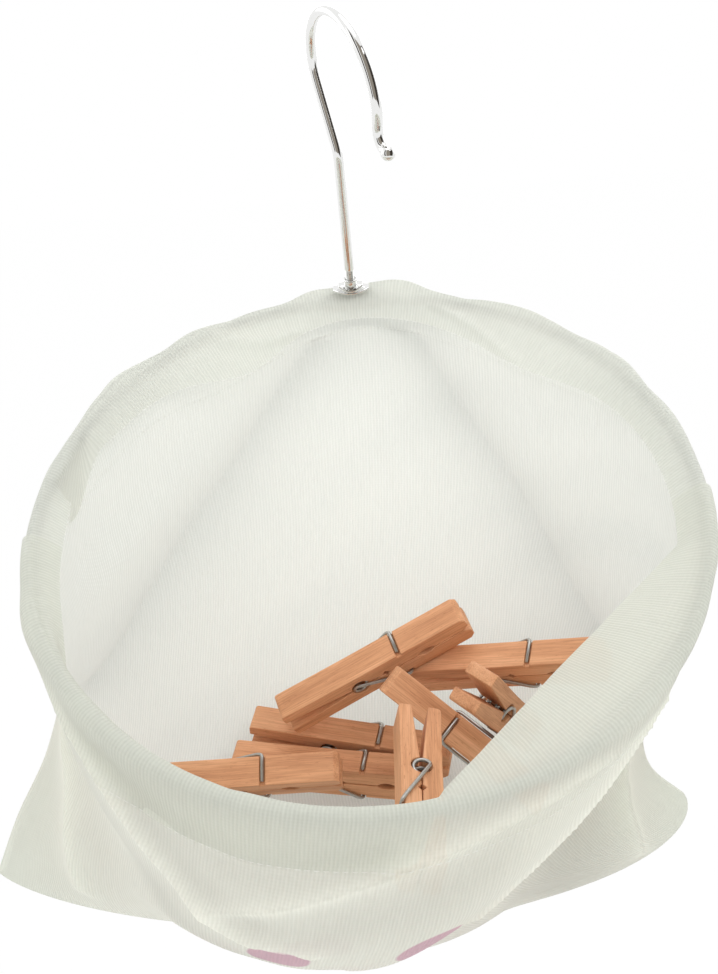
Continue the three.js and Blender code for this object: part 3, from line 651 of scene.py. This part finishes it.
# Ripples of the rim: how many go round the ring and how high each is, then their share, reach down and lean
RIM_RIPPLES = ((5, 0.5), (9, 0.5), (14, 0.45), (23, 0.3), (37, 0.16))
RIPPLE_SHARE = 0.5
RIPPLE_REACH = 26
RIPPLE_SLANT = 0.05
# Waves of the hanging wall: length and height in mm, where they start and are full, the range of their ways
DRAPE_WAVES = ((70, 0.5), (46, 0.4), (31, 0.25), (21, 0.14))
DRAPE_START = 10
DRAPE_FULL = 40
DRAPE_WAYS = (0.1, 1.2)
FULL_TURN = 6.28
# Deeper and shallower stretches of the hem, in the same way
HEM_DIPS = [(118, 10, 4), (88, 12, -5), (54, 9, 2), (30, 10, -3)]
# The front hem laps over the back hem at both side seams
SEAM_STEPS = [(180, 16, 0.9), (0, 16, 0.9)]
# At the right front the turned-in hem is pulled straight across the ring: its way and reach from the centre
FLAP_WAY = math.radians(-45)
FLAP_REACH = 77.5
# Elsewhere it lies as a flat collar: depth inwards from the ring, waves round the ring, drop of its free
# edge, where that lies level, its crown, and how soon it leaves the casing
COLLAR_DEPTH = 8
COLLAR_WAVES = [(117, 13, 12.5), (88, 11, 1), (50, 16, 8.8), (161, 7, -5), (228, 26, -6), (268, 20, -5.5)]
COLLAR_DROP = 4
COLLAR_LEVEL = [(88, 14, 1)]
COLLAR_CROWN = 0.8
COLLAR_EASE = 4
# The ridge along the hem's stitches: its height and width
HEM_LINE = 0.2
HEM_LINE_WIDTH = 1.6
# Cloth that lies over the casing on each side of the rim, and where folds of the wall begin and are full
CASING_CUT = 4
FOLD_FULL = 12
# Shapes fade out towards the side seams, in shares of the width, and the bottom seam, in mm
SEAM_FADE = 0.05
BOTTOM_FADE = 12
HEM_ROWS = 12
CASING_STEPS = 14
WALL_ROWS = 92
FRONT_SEED = 11
BACK_SEED = 12
DRAPE_SEED_STEP = 5
FAR_AWAY = 1e9
NO_LENGTH = 1e-12
CASING_SWELL_EASE = (1, 2.5)


def ring_at(angle):
    angle = np.asarray(angle, float)[..., None]
    return RING_RADIUS * (np.cos(angle) * ring_right + np.sin(angle) * ring_back)


def wall_curve(angle, shares):
    return Curve(np.vstack([ring_at(angle), RING_RADIUS * np.array(shares)]))


left_seam = wall_curve(math.pi, LEFT_SEAM)
right_seam = wall_curve(0, RIGHT_SEAM)
front_wall = wall_curve(-math.pi / 2, FRONT_WALL)
back_wall = wall_curve(math.pi / 2, BACK_WALL)


def steps_at(steps, share):
    """Even steps read as the solids read them: a smooth line through them that never passes 1."""
    steps = np.asarray(steps, float)
    last = len(steps) - 1
    place = np.clip(np.asarray(share, float), 0, 1) * last
    near = np.minimum(np.floor(place).astype(int), last)
    t = place - near
    a, b = steps[np.maximum(near - 1, 0)], steps[near]
    c, d = steps[np.minimum(near + 1, last)], steps[np.minimum(near + 2, last)]
    rise, leave = (c - a) / 2, (d - b) / 2
    cubic = 2 * b - 2 * c + rise + leave
    square = 3 * c - 3 * b - 2 * rise - leave
    return np.minimum(cubic * t ** 3 + square * t ** 2 + rise * t + b, 1)


def wall_point(nose, bellies, across, v):
    """Points of a wall at a share across, from seam to seam, and a share down from the ring."""
    left, right = left_seam.at(v), right_seam.at(v)
    middle = (left + right) / 2
    belly = np.where(across < 0, steps_at(bellies[0], v), steps_at(bellies[1], v))
    fullness = lerp(MOUTH_FULLNESS, SEAM_FULLNESS, v ** FULLNESS_FADE)
    inside = 1 - (across / belly) ** 2
    soft = FOLD_SOFTNESS * np.sqrt(1 - belly)
    to_seam = np.maximum(1 - np.abs(across) ** EAR_POWER, 0) ** (1 - belly)
    reach = np.maximum((np.hypot(inside, soft) + inside) / 2, 0) ** fullness * to_seam
    return middle + (right - middle) * across[..., None] + (nose.at(v) - middle) * reach[..., None]


def casing_radius(angle):
    plain = RING_WIRE / 2 + CASING_PLAY
    away = np.abs(angle - math.pi / 2) * RING_RADIUS / CASING_SWELL_REACH
    return lerp(plain, JOINER_CASING, 1 - smooth(away, *CASING_SWELL_EASE)) + CLOTH / 2


def bumps(angle, places):
    """A sum of soft bumps round the ring, each given as its angle and width in degrees and its height."""
    total = np.zeros_like(angle)
    for centre, width, height in places:
        away = (np.degrees(angle) - centre + 180) % 360 - 180
        total += height * np.exp(-(away / width) ** 2)
    return total


def panel_grid(nose, bellies, side):
    """Points of a panel, column by column, with the columns' places across and angles, and the rows' cuts."""
    turn = np.linspace(0, math.pi, COLUMNS + 1)
    across = -np.cos(turn)
    angle = math.pi - turn if side > 0 else math.pi + turn
    centre = ring_at(angle)
    outward = unit(centre)
    along = np.cross(ring_up, outward)
    drop = lerp(nose.length, left_seam.length, across * across)
    hem_end = (HEM_DEPTH + bumps(angle, HEM_DIPS)) / drop
    down = wall_point(nose, bellies, across, hem_end) - centre
    down = unit(down - along * (down * along).sum(-1, keepdims=True))
    out = unit(outward - down * (outward * down).sum(-1, keepdims=True))
    radius = casing_radius(angle) + (0 if side > 0 else bumps(angle, SEAM_STEPS))
    rows, cut = [], []

    def wall(v, offset):
        return wall_point(nose, bellies, across, v) + out * np.asarray(offset)[..., None]

    for j in range(HEM_ROWS, 0, -1):
        share = j / HEM_ROWS
        ease = float(smooth(share))
        rows.append(wall(hem_end * share, lerp(-radius, -CLOTH - CLOTH_GAP, ease)))
        cut.append(-HEM_DEPTH * share - CASING_CUT)
    for j in range(CASING_STEPS + 1):
        sweep = math.pi * j / CASING_STEPS
        aside = out * (-radius * math.cos(sweep))[:, None]
        rows.append(centre + aside - down * (radius * math.sin(sweep))[:, None])
        cut.append(lerp(-CASING_CUT, CASING_CUT, j / CASING_STEPS))
    chord = FLAP_REACH / np.maximum(np.cos(angle - FLAP_WAY), FLAP_REACH / RING_RADIUS)
    edge = np.minimum(RING_RADIUS - COLLAR_DEPTH - bumps(angle, COLLAR_WAVES), chord)
    flat = smooth(RING_RADIUS - edge - radius, 0, COLLAR_EASE)[:, None]
    top = centre - down * radius[:, None]
    drop_here = COLLAR_DROP * (1 - bumps(angle, COLLAR_LEVEL))
    free = outward * edge[:, None] - ring_up * drop_here[:, None]
    collar_rows = HEM_ROWS + CASING_STEPS // 2
    for j in range(collar_rows):
        share = 1 - j / collar_rows
        crown = ring_up * COLLAR_CROWN * math.sin(math.pi * share)
        rows[j] = lerp(rows[j], lerp(top, free, share) + crown, flat)
    for j in range(1, HEM_ROWS + 1):
        ease = float(smooth(j / HEM_ROWS))
        rows.append(wall(hem_end * j / HEM_ROWS, lerp(radius, 0, ease)))
        cut.append(HEM_DEPTH * j / HEM_ROWS + CASING_CUT)
    for j in range(1, WALL_ROWS + 1):
        share = j / WALL_ROWS
        rows.append(wall(lerp(hem_end, 1, share), np.zeros_like(across)))
        cut.append(HEM_DEPTH + CASING_CUT + share * (nose.length - HEM_DEPTH))
    return np.stack(rows, 1), across, np.array(cut), angle


def normals(grid):
    u = np.gradient(grid, axis=0)
    w = np.gradient(grid, axis=1)
    return unit(np.cross(u, w) + NO_LENGTH)


def ridge(across, cut, points, width, power):
    """A line through points of (across, cut): 1 on it and 0 some widths away; power 1 is a sharp fold."""
    x = across[:, None] * RING_RADIUS
    y = cut[None, :]
    best = np.full(np.broadcast(x, y).shape, FAR_AWAY)
    for (a0, c0), (a1, c1) in zip(points, points[1:]):
        p = np.array([a0 * RING_RADIUS, c0])
        d = np.array([(a1 - a0) * RING_RADIUS, c1 - c0])
        t = np.clip(((x - p[0]) * d[0] + (y - p[1]) * d[1]) / (d @ d), 0, 1)
        best = np.minimum(best, np.hypot(x - p[0] - t * d[0], y - p[1] - t * d[1]))
    return np.exp(-(best / width) ** power)


def rim_ripple(angle, cut, seed):
    """Small waves round the rim, in mm, that lean a little with the way down the cut."""
    rng = random.Random(seed)
    total = np.zeros((len(angle), len(cut)))
    fewest = RIM_RIPPLES[0][0]
    for waves, size in RIM_RIPPLES:
        lag = rng.uniform(0, FULL_TURN)
        slant = rng.uniform(-RIPPLE_SLANT, RIPPLE_SLANT)
        total += size * np.sin(waves * angle[:, None] + lag + slant * cut[None, :] * waves / fewest)
    return total


def drape(across, cut, seed):
    """Low unevenness of the hanging wall, in mm."""
    rng = random.Random(seed)
    x, y = across[:, None] * RING_RADIUS, cut[None, :]
    total = np.zeros(np.broadcast(x, y).shape)
    for length, size in DRAPE_WAVES:
        way = rng.uniform(*DRAPE_WAYS)
        lag = rng.uniform(0, FULL_TURN)
        total += size * np.sin((x * math.cos(way) + y * math.sin(way)) * 2 * math.pi / length + lag)
    return total


def make_panel(name, nose, bellies, side, creases, hem_folds, seed):
    """One panel with its folds, its flat cut as UV in metres, and the painted shade and highlight along its
    folds.
    """
    grid, across, cut, angle = panel_grid(nose, bellies, side)
    normal = normals(grid)
    facing = np.sign((normal[:, -WALL_ROWS // 2] * unit(ring_at(angle))).sum())
    depth = np.abs(cut)
    outer, inner = (cut > CASING_CUT)[None, :], (cut < 0)[None, :]
    hem_fade = np.exp(-((depth / RIPPLE_REACH) ** 2))[None, :]
    lump_fade = np.exp(-((depth - LUMP_PLACE) / LUMP_REACH) ** 2)[None, :]
    stitch_line = np.exp(-((depth - HEM_DEPTH - CASING_CUT) / HEM_LINE_WIDTH) ** 2)[None, :]
    lift = np.abs(RIPPLE_SHARE * rim_ripple(angle, cut, seed)) * hem_fade
    lift = lift + bumps(angle, RIM_LUMPS)[:, None] * lump_fade
    lift = np.where(inner, lift * INNER_SHARE, lift)
    lift = lift + HEM_LINE * stitch_line * outer
    wall_fade = smooth(depth, DRAPE_START, DRAPE_FULL)[None, :]
    lift = lift + drape(across, cut, seed + DRAPE_SEED_STEP) * wall_fade
    # Painted shade along the folds, kept apart from their lift; a negative amount is a painted highlight
    shade = np.zeros_like(lift)
    for points, width, height, power, tint_and_painted_shade in creases:
        line = ridge(across, depth, points, width, power) * smooth(cut, CASING_CUT, FOLD_FULL)[None, :]
        lift = lift + height * line
        shade = shade + tint_and_painted_shade * line
    for points, width, height, power in hem_folds:
        lift = lift + height * ridge(across, depth, points, width, power) * inner
    to_seams = smooth(1 - np.abs(across), 0, SEAM_FADE)[:, None]
    edge = to_seams * smooth(cut[-1] - cut, 0, BOTTOM_FADE)[None, :]
    grid = grid + normal * (facing * lift * edge)[..., None]
    columns, rows = grid.shape[:2]
    obj = mesh_object(name, metres(grid.reshape(-1, 3)), grid_faces(columns, rows))
    # The painted shade and highlight go on the mesh as a point attribute
    painted_fold_shading = obj.data.attributes.new("painted_fold_shading", "FLOAT", "POINT")
    painted_fold_shading.data.foreach_set("value", np.clip(shade, -1, 1).ravel().astype(np.float32))
    layer = obj.data.uv_layers.new(name="cut")
    half = math.pi * RING_RADIUS / 2
    uv_across = np.arcsin(across)[:, None] / (math.pi / 2) * half / MM_IN_METRE
    uv_down = np.abs(cut)[None, :] / MM_IN_METRE
    uv = np.stack(np.broadcast_arrays(uv_across, uv_down), -1).reshape(-1, 2)
    loops = np.zeros(len(obj.data.loops), np.int32)
    obj.data.loops.foreach_get("vertex_index", loops)
    layer.data.foreach_set("uv", uv[loops].ravel().astype(np.float32))
    return obj, grid, normal * facing


# Each crease: its line as (share across, mm down the cut), its width and height in mm, its power, and how
# much painted shade it lays on the cloth, negative for a painted highlight. Folds of the hem have no painted
# shade of their own
BACK_CREASES = [
    ([(-0.14, 19), (-0.34, 37), (-0.56, 62), (-0.77, 91), (-0.91, 116)], 13.0, 6.0, 1, 0.8),
    ([(0.21, 19), (0.34, 41), (0.53, 66), (0.69, 95), (0.83, 124)], 13.0, 6.0, 1, 0.8),
]
BACK_HEM_FOLDS = [
    ([(-0.48, 3), (-0.34, 11), (-0.19, 18)], 2.6, 1.5, 2),
    ([(0.30, 6), (0.48, 13), (0.62, 17)], 2.6, 1.0, 2),
]
FRONT_CREASES = [
    ([(-0.42, 37), (-0.3, 32), (-0.1, 25), (0.1, 18), (0.35, 12), (0.6, 9)], 2.2, 2.6, 1.2, -1.0),
    ([(-0.87, 8), (-0.7, 21), (-0.58, 30), (-0.45, 38), (-0.3, 45), (-0.12, 48)], 2.2, 2.6, 1.2, -1.0),
    ([(-0.76, 9), (-0.55, 18), (-0.35, 22), (0, 16)], 6.0, -1.6, 2, 0.4),
    ([(-0.85, 30), (-0.68, 45), (-0.5, 58), (-0.3, 66)], 11.0, 0.0, 2, 0.6),
    ([(-0.62, 22), (-0.48, 30), (-0.3, 38)], 5.0, -1.2, 2, 0.5),
    ([(-0.2, 40), (0.1, 32), (0.3, 26)], 9.0, -1.0, 2, 0.4),
    ([(0.96, 92), (0.9, 114), (0.78, 130)], 3.0, 5.0, 1.2, -0.8),
    ([(0.9, 80), (0.72, 105), (0.5, 122)], 16.0, -3.0, 2, 0.8),
    ([(-0.97, 60), (-0.9, 90), (-0.84, 118)], 3.0, 3.0, 1.2, -0.8),
    ([(0.78, 14), (0.55, 42), (0.36, 62)], 2.6, 2.4, 1.2, -0.8),
]
front, front_grid, front_out = make_panel("front_cloth", front_wall, FRONT_BELLY, -1, FRONT_CREASES, [],
                                          FRONT_SEED)
back, back_grid, back_out = make_panel("back_cloth", back_wall, BACK_BELLY, 1, BACK_CREASES, BACK_HEM_FOLDS,
                                       BACK_SEED)
finish_piece(front, cloth_front_painted_shade, "cloth", "bag", "front_panel")
finish_piece(back, cloth_back, "cloth", "bag", "back_panel")


# Stitches, in mm, with the share of the thread's thickness that is left at their ends
STITCH_LENGTH = 1.8
STITCH_PITCH = 2.5
STITCH_RADIUS = 0.1
STITCH_ARCH = 0.2
STITCH_SINK = 0.08
STITCH_END = 0.35
STITCH_STEPS = 7
STITCH_SIDES = 6


def make_stitches(name, line, out):
    """A row of lock stitches: short rounded lengths of thread that dip into the cloth at both ends."""
    travel = np.concatenate([[0], np.cumsum(np.linalg.norm(np.diff(line, axis=0), axis=1))])
    share = np.linspace(0, 1, STITCH_STEPS)
    arch = np.sin(share * math.pi)
    radii = STITCH_RADIUS * (STITCH_END + (1 - STITCH_END) * np.sqrt(arch))
    rise = (arch * STITCH_ARCH - STITCH_SINK)[:, None]
    points, faces = [], []
    count = 0
    for start in np.arange(STITCH_PITCH, travel[-1] - STITCH_PITCH, STITCH_PITCH):
        where = start + share * STITCH_LENGTH
        place = np.stack([np.interp(where, travel, line[:, k]) for k in range(3)], -1)
        up = unit(np.stack([np.interp(where, travel, out[:, k]) for k in range(3)], -1))
        made, made_faces = tube(place + up * rise, radii, STITCH_SIDES)
        faces += [tuple(i + count for i in face) for face in made_faces]
        points.append(made)
        count += len(made)
    return mesh_object(name, metres(np.concatenate(points)), faces)


hem_row = HEM_ROWS * 2 + CASING_STEPS
front_stitches = make_stitches("front_hem_stitches", front_grid[:, hem_row], front_out[:, hem_row])
back_stitches = make_stitches("back_hem_stitches", back_grid[:, hem_row], back_out[:, hem_row])
inner_stitches = make_stitches("back_hem_inner_stitches", back_grid[:, 0], -back_out[:, hem_row])
for piece in (front_stitches, back_stitches, inner_stitches):
    finish_piece(piece, thread, "cloth", "bag")

# Pegs
ARC_STEPS = 14
EDGE_ROUND = 0.0004
EDGE_STEPS = 3
EDGE_ANGLE = math.radians(28)
COIL_STEPS = 88
SPRING_BEND_STEPS = 8
SPRING_SIDES = 10


def half_profile():
    """The outline of the upper half, from the jaw over the top and back along the inner face."""
    jaw = PEG_LENGTH - HANDLE_LENGTH
    top = PEG_HALF + HANDLE_RISE
    inner = top - HANDLE_TIP
    taper = (inner - FACE_GAP) / HANDLE_LENGTH
    seat_left = FACE_GAP + taper * COIL_SEAT
    first = math.pi - math.asin(seat_left / COIL_SEAT)
    last = math.asin(FACE_GAP / COIL_SEAT)
    groove_near, groove_far = GROOVE_PLACE - GROOVE_HALF, GROOVE_PLACE + GROOVE_HALF
    grip_near, grip_far = GRIP_PLACE - GRIP_LENGTH / 2, GRIP_PLACE + GRIP_LENGTH / 2
    profile = [(jaw - JAW_ENTRY, FACE_GAP), (jaw, FACE_GAP + JAW_ENTRY / 2), (jaw, PEG_HALF - JAW_CHAMFER),
               (jaw - JAW_CHAMFER, PEG_HALF), (groove_far, PEG_HALF), (groove_far, PEG_HALF - GROOVE_DEPTH),
               (groove_near, PEG_HALF - GROOVE_DEPTH), (groove_near, PEG_HALF), (0, PEG_HALF)]
    tip = bezier2((HANDLE_ROUND - HANDLE_LENGTH, top), (-HANDLE_LENGTH, top),
                  (-HANDLE_LENGTH, top - HANDLE_ROUND), ARC_STEPS // 2)
    profile += [tuple(p) for p in tip]
    profile.append((-HANDLE_LENGTH, inner))
    seat = np.linspace(first, last, ARC_STEPS)
    profile += [(COIL_SEAT * math.cos(a), COIL_SEAT * math.sin(a)) for a in seat]
    profile += [(NOTCH_PLACE - NOTCH_DEPTH, FACE_GAP), (NOTCH_PLACE, FACE_GAP + NOTCH_DEPTH),
                (NOTCH_PLACE + NOTCH_DEPTH, FACE_GAP)]
    grip_top = (GRIP_PLACE, FACE_GAP + 2 * GRIP_DEPTH)
    grip = bezier2((grip_near, FACE_GAP), grip_top, (grip_far, FACE_GAP), ARC_STEPS)
    profile += [tuple(p) for p in grip]
    return profile


PROFILE = half_profile()


def make_half(name, matrix, way, seed):
    rng = random.Random(seed)
    count = len(PROFILE)
    points = [(x, side * PEG_WIDTH / 2, z * way) for side in (-1, 1) for x, z in PROFILE]
    faces = [tuple(range(count)), tuple(reversed(range(count, 2 * count)))]
    faces += [(i, i + count, (i + 1) % count + count, (i + 1) % count) for i in range(count)]
    obj = mesh_object(name, np.array(points) / MM_IN_METRE, faces, smooth_shade=False)
    bm = bmesh.new()
    bm.from_mesh(obj.data)
    bmesh.ops.recalc_face_normals(bm, faces=bm.faces)
    bm.to_mesh(obj.data)
    bm.free()
    shift = obj.data.attributes.new("grain_shift", "FLOAT_VECTOR", "POINT")
    move = np.array([rng.uniform(-1, 1) for _ in range(3)], np.float32)
    shift.data.foreach_set("vector", np.tile(move, len(obj.data.vertices)))
    edge = obj.modifiers.new("edge", "BEVEL")
    edge.width = EDGE_ROUND
    edge.segments = EDGE_STEPS
    edge.limit_method = "ANGLE"
    edge.angle_limit = EDGE_ANGLE
    edge.use_clamp_overlap = True
    obj.data.shade_smooth()
    edge.harden_normals = True
    obj.matrix_world = matrix
    return obj


def spring_line():
    """The spring's wire: one crossing, its arm, the coil, and the other arm and crossing."""
    arm = math.hypot(GROOVE_PLACE, ARM_HEIGHT)
    contact = math.atan2(ARM_HEIGHT, GROOVE_PLACE) - math.acos(COIL_RADIUS / arm)
    turn = 2 * math.pi * (COIL_TURNS + 1) + 2 * contact

    def crossing(way):
        corner = np.array([GROOVE_PLACE, way * ARM_SIDE, way * ARM_HEIGHT])
        end = [np.array([GROOVE_PLACE, way * (SPRING_END_SHORT - PEG_WIDTH / 2), way * ARM_HEIGHT])]
        toward = np.array([GROOVE_PLACE - 2 * SPRING_BEND, way * ARM_SIDE, way * (ARM_HEIGHT - SPRING_BEND)])
        return end + list(bezier2(corner - [0, way * SPRING_BEND, 0], corner, toward, SPRING_BEND_STEPS))

    coil = []
    for i in range(COIL_STEPS + 1):
        a = contact - turn * i / COIL_STEPS
        aside = lerp(ARM_SIDE, -ARM_SIDE, i / COIL_STEPS)
        coil.append(np.array([COIL_RADIUS * math.cos(a), aside, COIL_RADIUS * math.sin(a)]))
    return crossing(1) + coil + crossing(-1)[::-1]


SPRING_LINE = spring_line()
SPRING = tube(SPRING_LINE, [SPRING_WIRE / 2] * len(SPRING_LINE), SPRING_SIDES)
for number, (heading, pitch, roll) in enumerate(PEG_TURNS, 1):
    name = f"peg_{number}"
    place = Vector(joints[name + "_pinch"]["pos_m"])
    turn = (Matrix.Rotation(math.radians(heading), 4, "Z") @ Matrix.Rotation(math.radians(-pitch), 4, "Y")
            @ Matrix.Rotation(math.radians(roll), 4, "X"))
    matrix = Matrix.Translation(place) @ turn
    upper = make_half(name + "_wood_upper", matrix, 1, 2 * number)
    lower = make_half(name + "_wood_lower", matrix, -1, 2 * number + 1)
    finish_piece(upper, peg_wood, "peg_wood", name + "_upper", name + "_upper_half")
    finish_piece(lower, peg_wood, "peg_wood", "bag", name + "_lower_half")
    wire = mesh_object(name + "_wire", SPRING[0] / MM_IN_METRE, SPRING[1])
    wire.matrix_world = matrix
    bpy.context.view_layer.update()
    finish_piece(wire, spring_steel, "spring_steel", None, name + "_spring")
    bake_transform(wire)

# Camera, floor and light. The camera stands as it did for the photo, in mm about the ring's centre
PHOTO_WIDTH = 718
SENSOR_WIDTH = 36
CLIP_START = 0.01
FOCAL_PX = 1355
CAMERA_AWAY = 414.4
CAMERA_DOWN = math.radians(17.45)
CAMERA_ROLL = math.radians(-5.91)
CAMERA_SHIFT = (1.77, -8.95)
CAMERA_SWING = math.radians(2)
# Floor and world, in metres, and how much of the floor's white is its own light
FLOOR_DROP = 0.62
FLOOR_REACH = 6
FLOOR_COLOUR = (0.93, 0.93, 0.93, 1)
FLOOR_GLOW = 0.985
WORLD_STRENGTH = 0.95
WHITE = (1, 1, 1, 1)

look = np.array([0, math.cos(CAMERA_DOWN), -math.sin(CAMERA_DOWN)])
plain_up = np.cross(ring_right, look)
cam_right = math.cos(CAMERA_ROLL) * ring_right + math.sin(CAMERA_ROLL) * plain_up
cam_up = -math.sin(CAMERA_ROLL) * ring_right + math.cos(CAMERA_ROLL) * plain_up
eye = -(CAMERA_SHIFT[0] * cam_right + CAMERA_SHIFT[1] * cam_up + CAMERA_AWAY * look)
swing = np.array(Matrix.Rotation(CAMERA_SWING, 3, Vector(ring_up)))
look, cam_right, cam_up, eye = (swing @ v for v in (look, cam_right, cam_up, eye))
camera_data = bpy.data.cameras.new("camera")
camera_data.sensor_fit = "HORIZONTAL"
camera_data.sensor_width = SENSOR_WIDTH
camera_data.lens = FOCAL_PX * SENSOR_WIDTH / PHOTO_WIDTH
camera_data.clip_start = CLIP_START
camera = bpy.data.objects.new("camera", camera_data)
camera_turn = np.stack([cam_right, cam_up, -look], 1)
camera_rows = [[*row, place] for row, place in zip(camera_turn, metres(eye))]
camera.matrix_world = Matrix(camera_rows + [[0, 0, 0, 1]])
bpy.context.scene.collection.objects.link(camera)
bpy.context.scene.camera = camera

square = ((-1, -1), (1, -1), (1, 1), (-1, 1))
floor_corners = [(x * FLOOR_REACH, y * FLOOR_REACH, -FLOOR_DROP) for x, y in square]
floor = mesh_object("floor", floor_corners, [(0, 1, 2, 3)])
floor_material, floor_tree = new_material("pale_floor")


def seen_directly(tree):
    """1 for rays from the camera and those that metal or cloth passes on, 0 for the light on the object."""
    path = node(tree, "LightPath").outputs
    either = maths(tree, "MAXIMUM", path["Is Camera Ray"], path["Is Glossy Ray"])
    return maths(tree, "MAXIMUM", either, path["Is Transmission Ray"])


matt = node(floor_tree, "BsdfDiffuse", Color=FLOOR_COLOUR)
glow = node(floor_tree, "Emission", Strength=1.0)
shown = maths(floor_tree, "MULTIPLY", seen_directly(floor_tree), FLOOR_GLOW)
surface(floor_tree, mix_shaders(floor_tree, shown, matt, glow))
floor.data.materials.append(floor_material)

world = bpy.data.worlds.new("studio")
bpy.context.scene.world = world
world.use_nodes = True
world_tree = world.node_tree
world_tree.nodes.clear()
light = node(world_tree, "Background", Strength=WORLD_STRENGTH, Color=WHITE)
white = node(world_tree, "Background", Strength=1.0, Color=WHITE)
surface(world_tree, mix_shaders(world_tree, seen_directly(world_tree), light, white), "OutputWorld")

LAMP_TARGET = (0, 0, -0.2)
# Each lamp: its name, its place and size in metres and its power in watts
LAMPS = [
    ("key", (0.6, -0.7, 0.5), 0.6, 1.6),
    ("fill", (-0.9, -0.5, 0.3), 0.8, 0.4),
    ("behind", (0.1, 0.9, 0.25), 0.9, 4),
    ("behind_right", (0.9, 0.5, 0.2), 0.8, 1.6),
    ("behind_left", (-0.9, 0.5, 0.2), 0.8, 1.3),
    ("above", (0, -0.1, 0.9), 0.8, 1.8),
]


def area_light(name, place, size, watts):
    data = bpy.data.lights.new(name, "AREA")
    data.shape = "DISK"
    data.size = size
    data.energy = watts
    lamp = bpy.data.objects.new(name, data)
    lamp.location = place
    lamp.rotation_euler = (Vector(LAMP_TARGET) - Vector(place)).to_track_quat("-Z", "Y").to_euler()
    bpy.context.scene.collection.objects.link(lamp)


for lamp_values in LAMPS:
    area_light(*lamp_values)

# Cards that only the shiny metal shows: their foot, top and distance in metres, then each card's name, the
# bearings in degrees that it stands between, and its colour
CARD_LOW = -0.6
CARD_HIGH = 0.9
CARD_AWAY = 0.9
CARDS = [
    ("room_card", -30, 28, (0.30, 0.27, 0.23)),
    ("dark_card_right", 28, 72, (0.05, 0.042, 0.035)),
    ("dark_card_left", -62, -40, (0.10, 0.09, 0.08)),
]


def studio_card(name, first, last, colour):
    corners = []
    for bearing, height in ((first, CARD_LOW), (last, CARD_LOW), (last, CARD_HIGH), (first, CARD_HIGH)):
        turn = math.radians(bearing)
        corners.append((CARD_AWAY * math.sin(turn), -CARD_AWAY * math.cos(turn), height))
    card = mesh_object(name, corners, [(0, 1, 2, 3)])
    material, tree = new_material(name)
    surface(tree, node(tree, "Emission", Strength=1.0, Color=(*colour, 1)))
    card.data.materials.append(material)
    card.visible_camera = False
    card.visible_diffuse = False
    card.visible_transmission = False
    card.visible_shadow = False


for card_values in CARDS:
    studio_card(*card_values)
bpy.context.scene.view_settings.view_transform = "Standard"
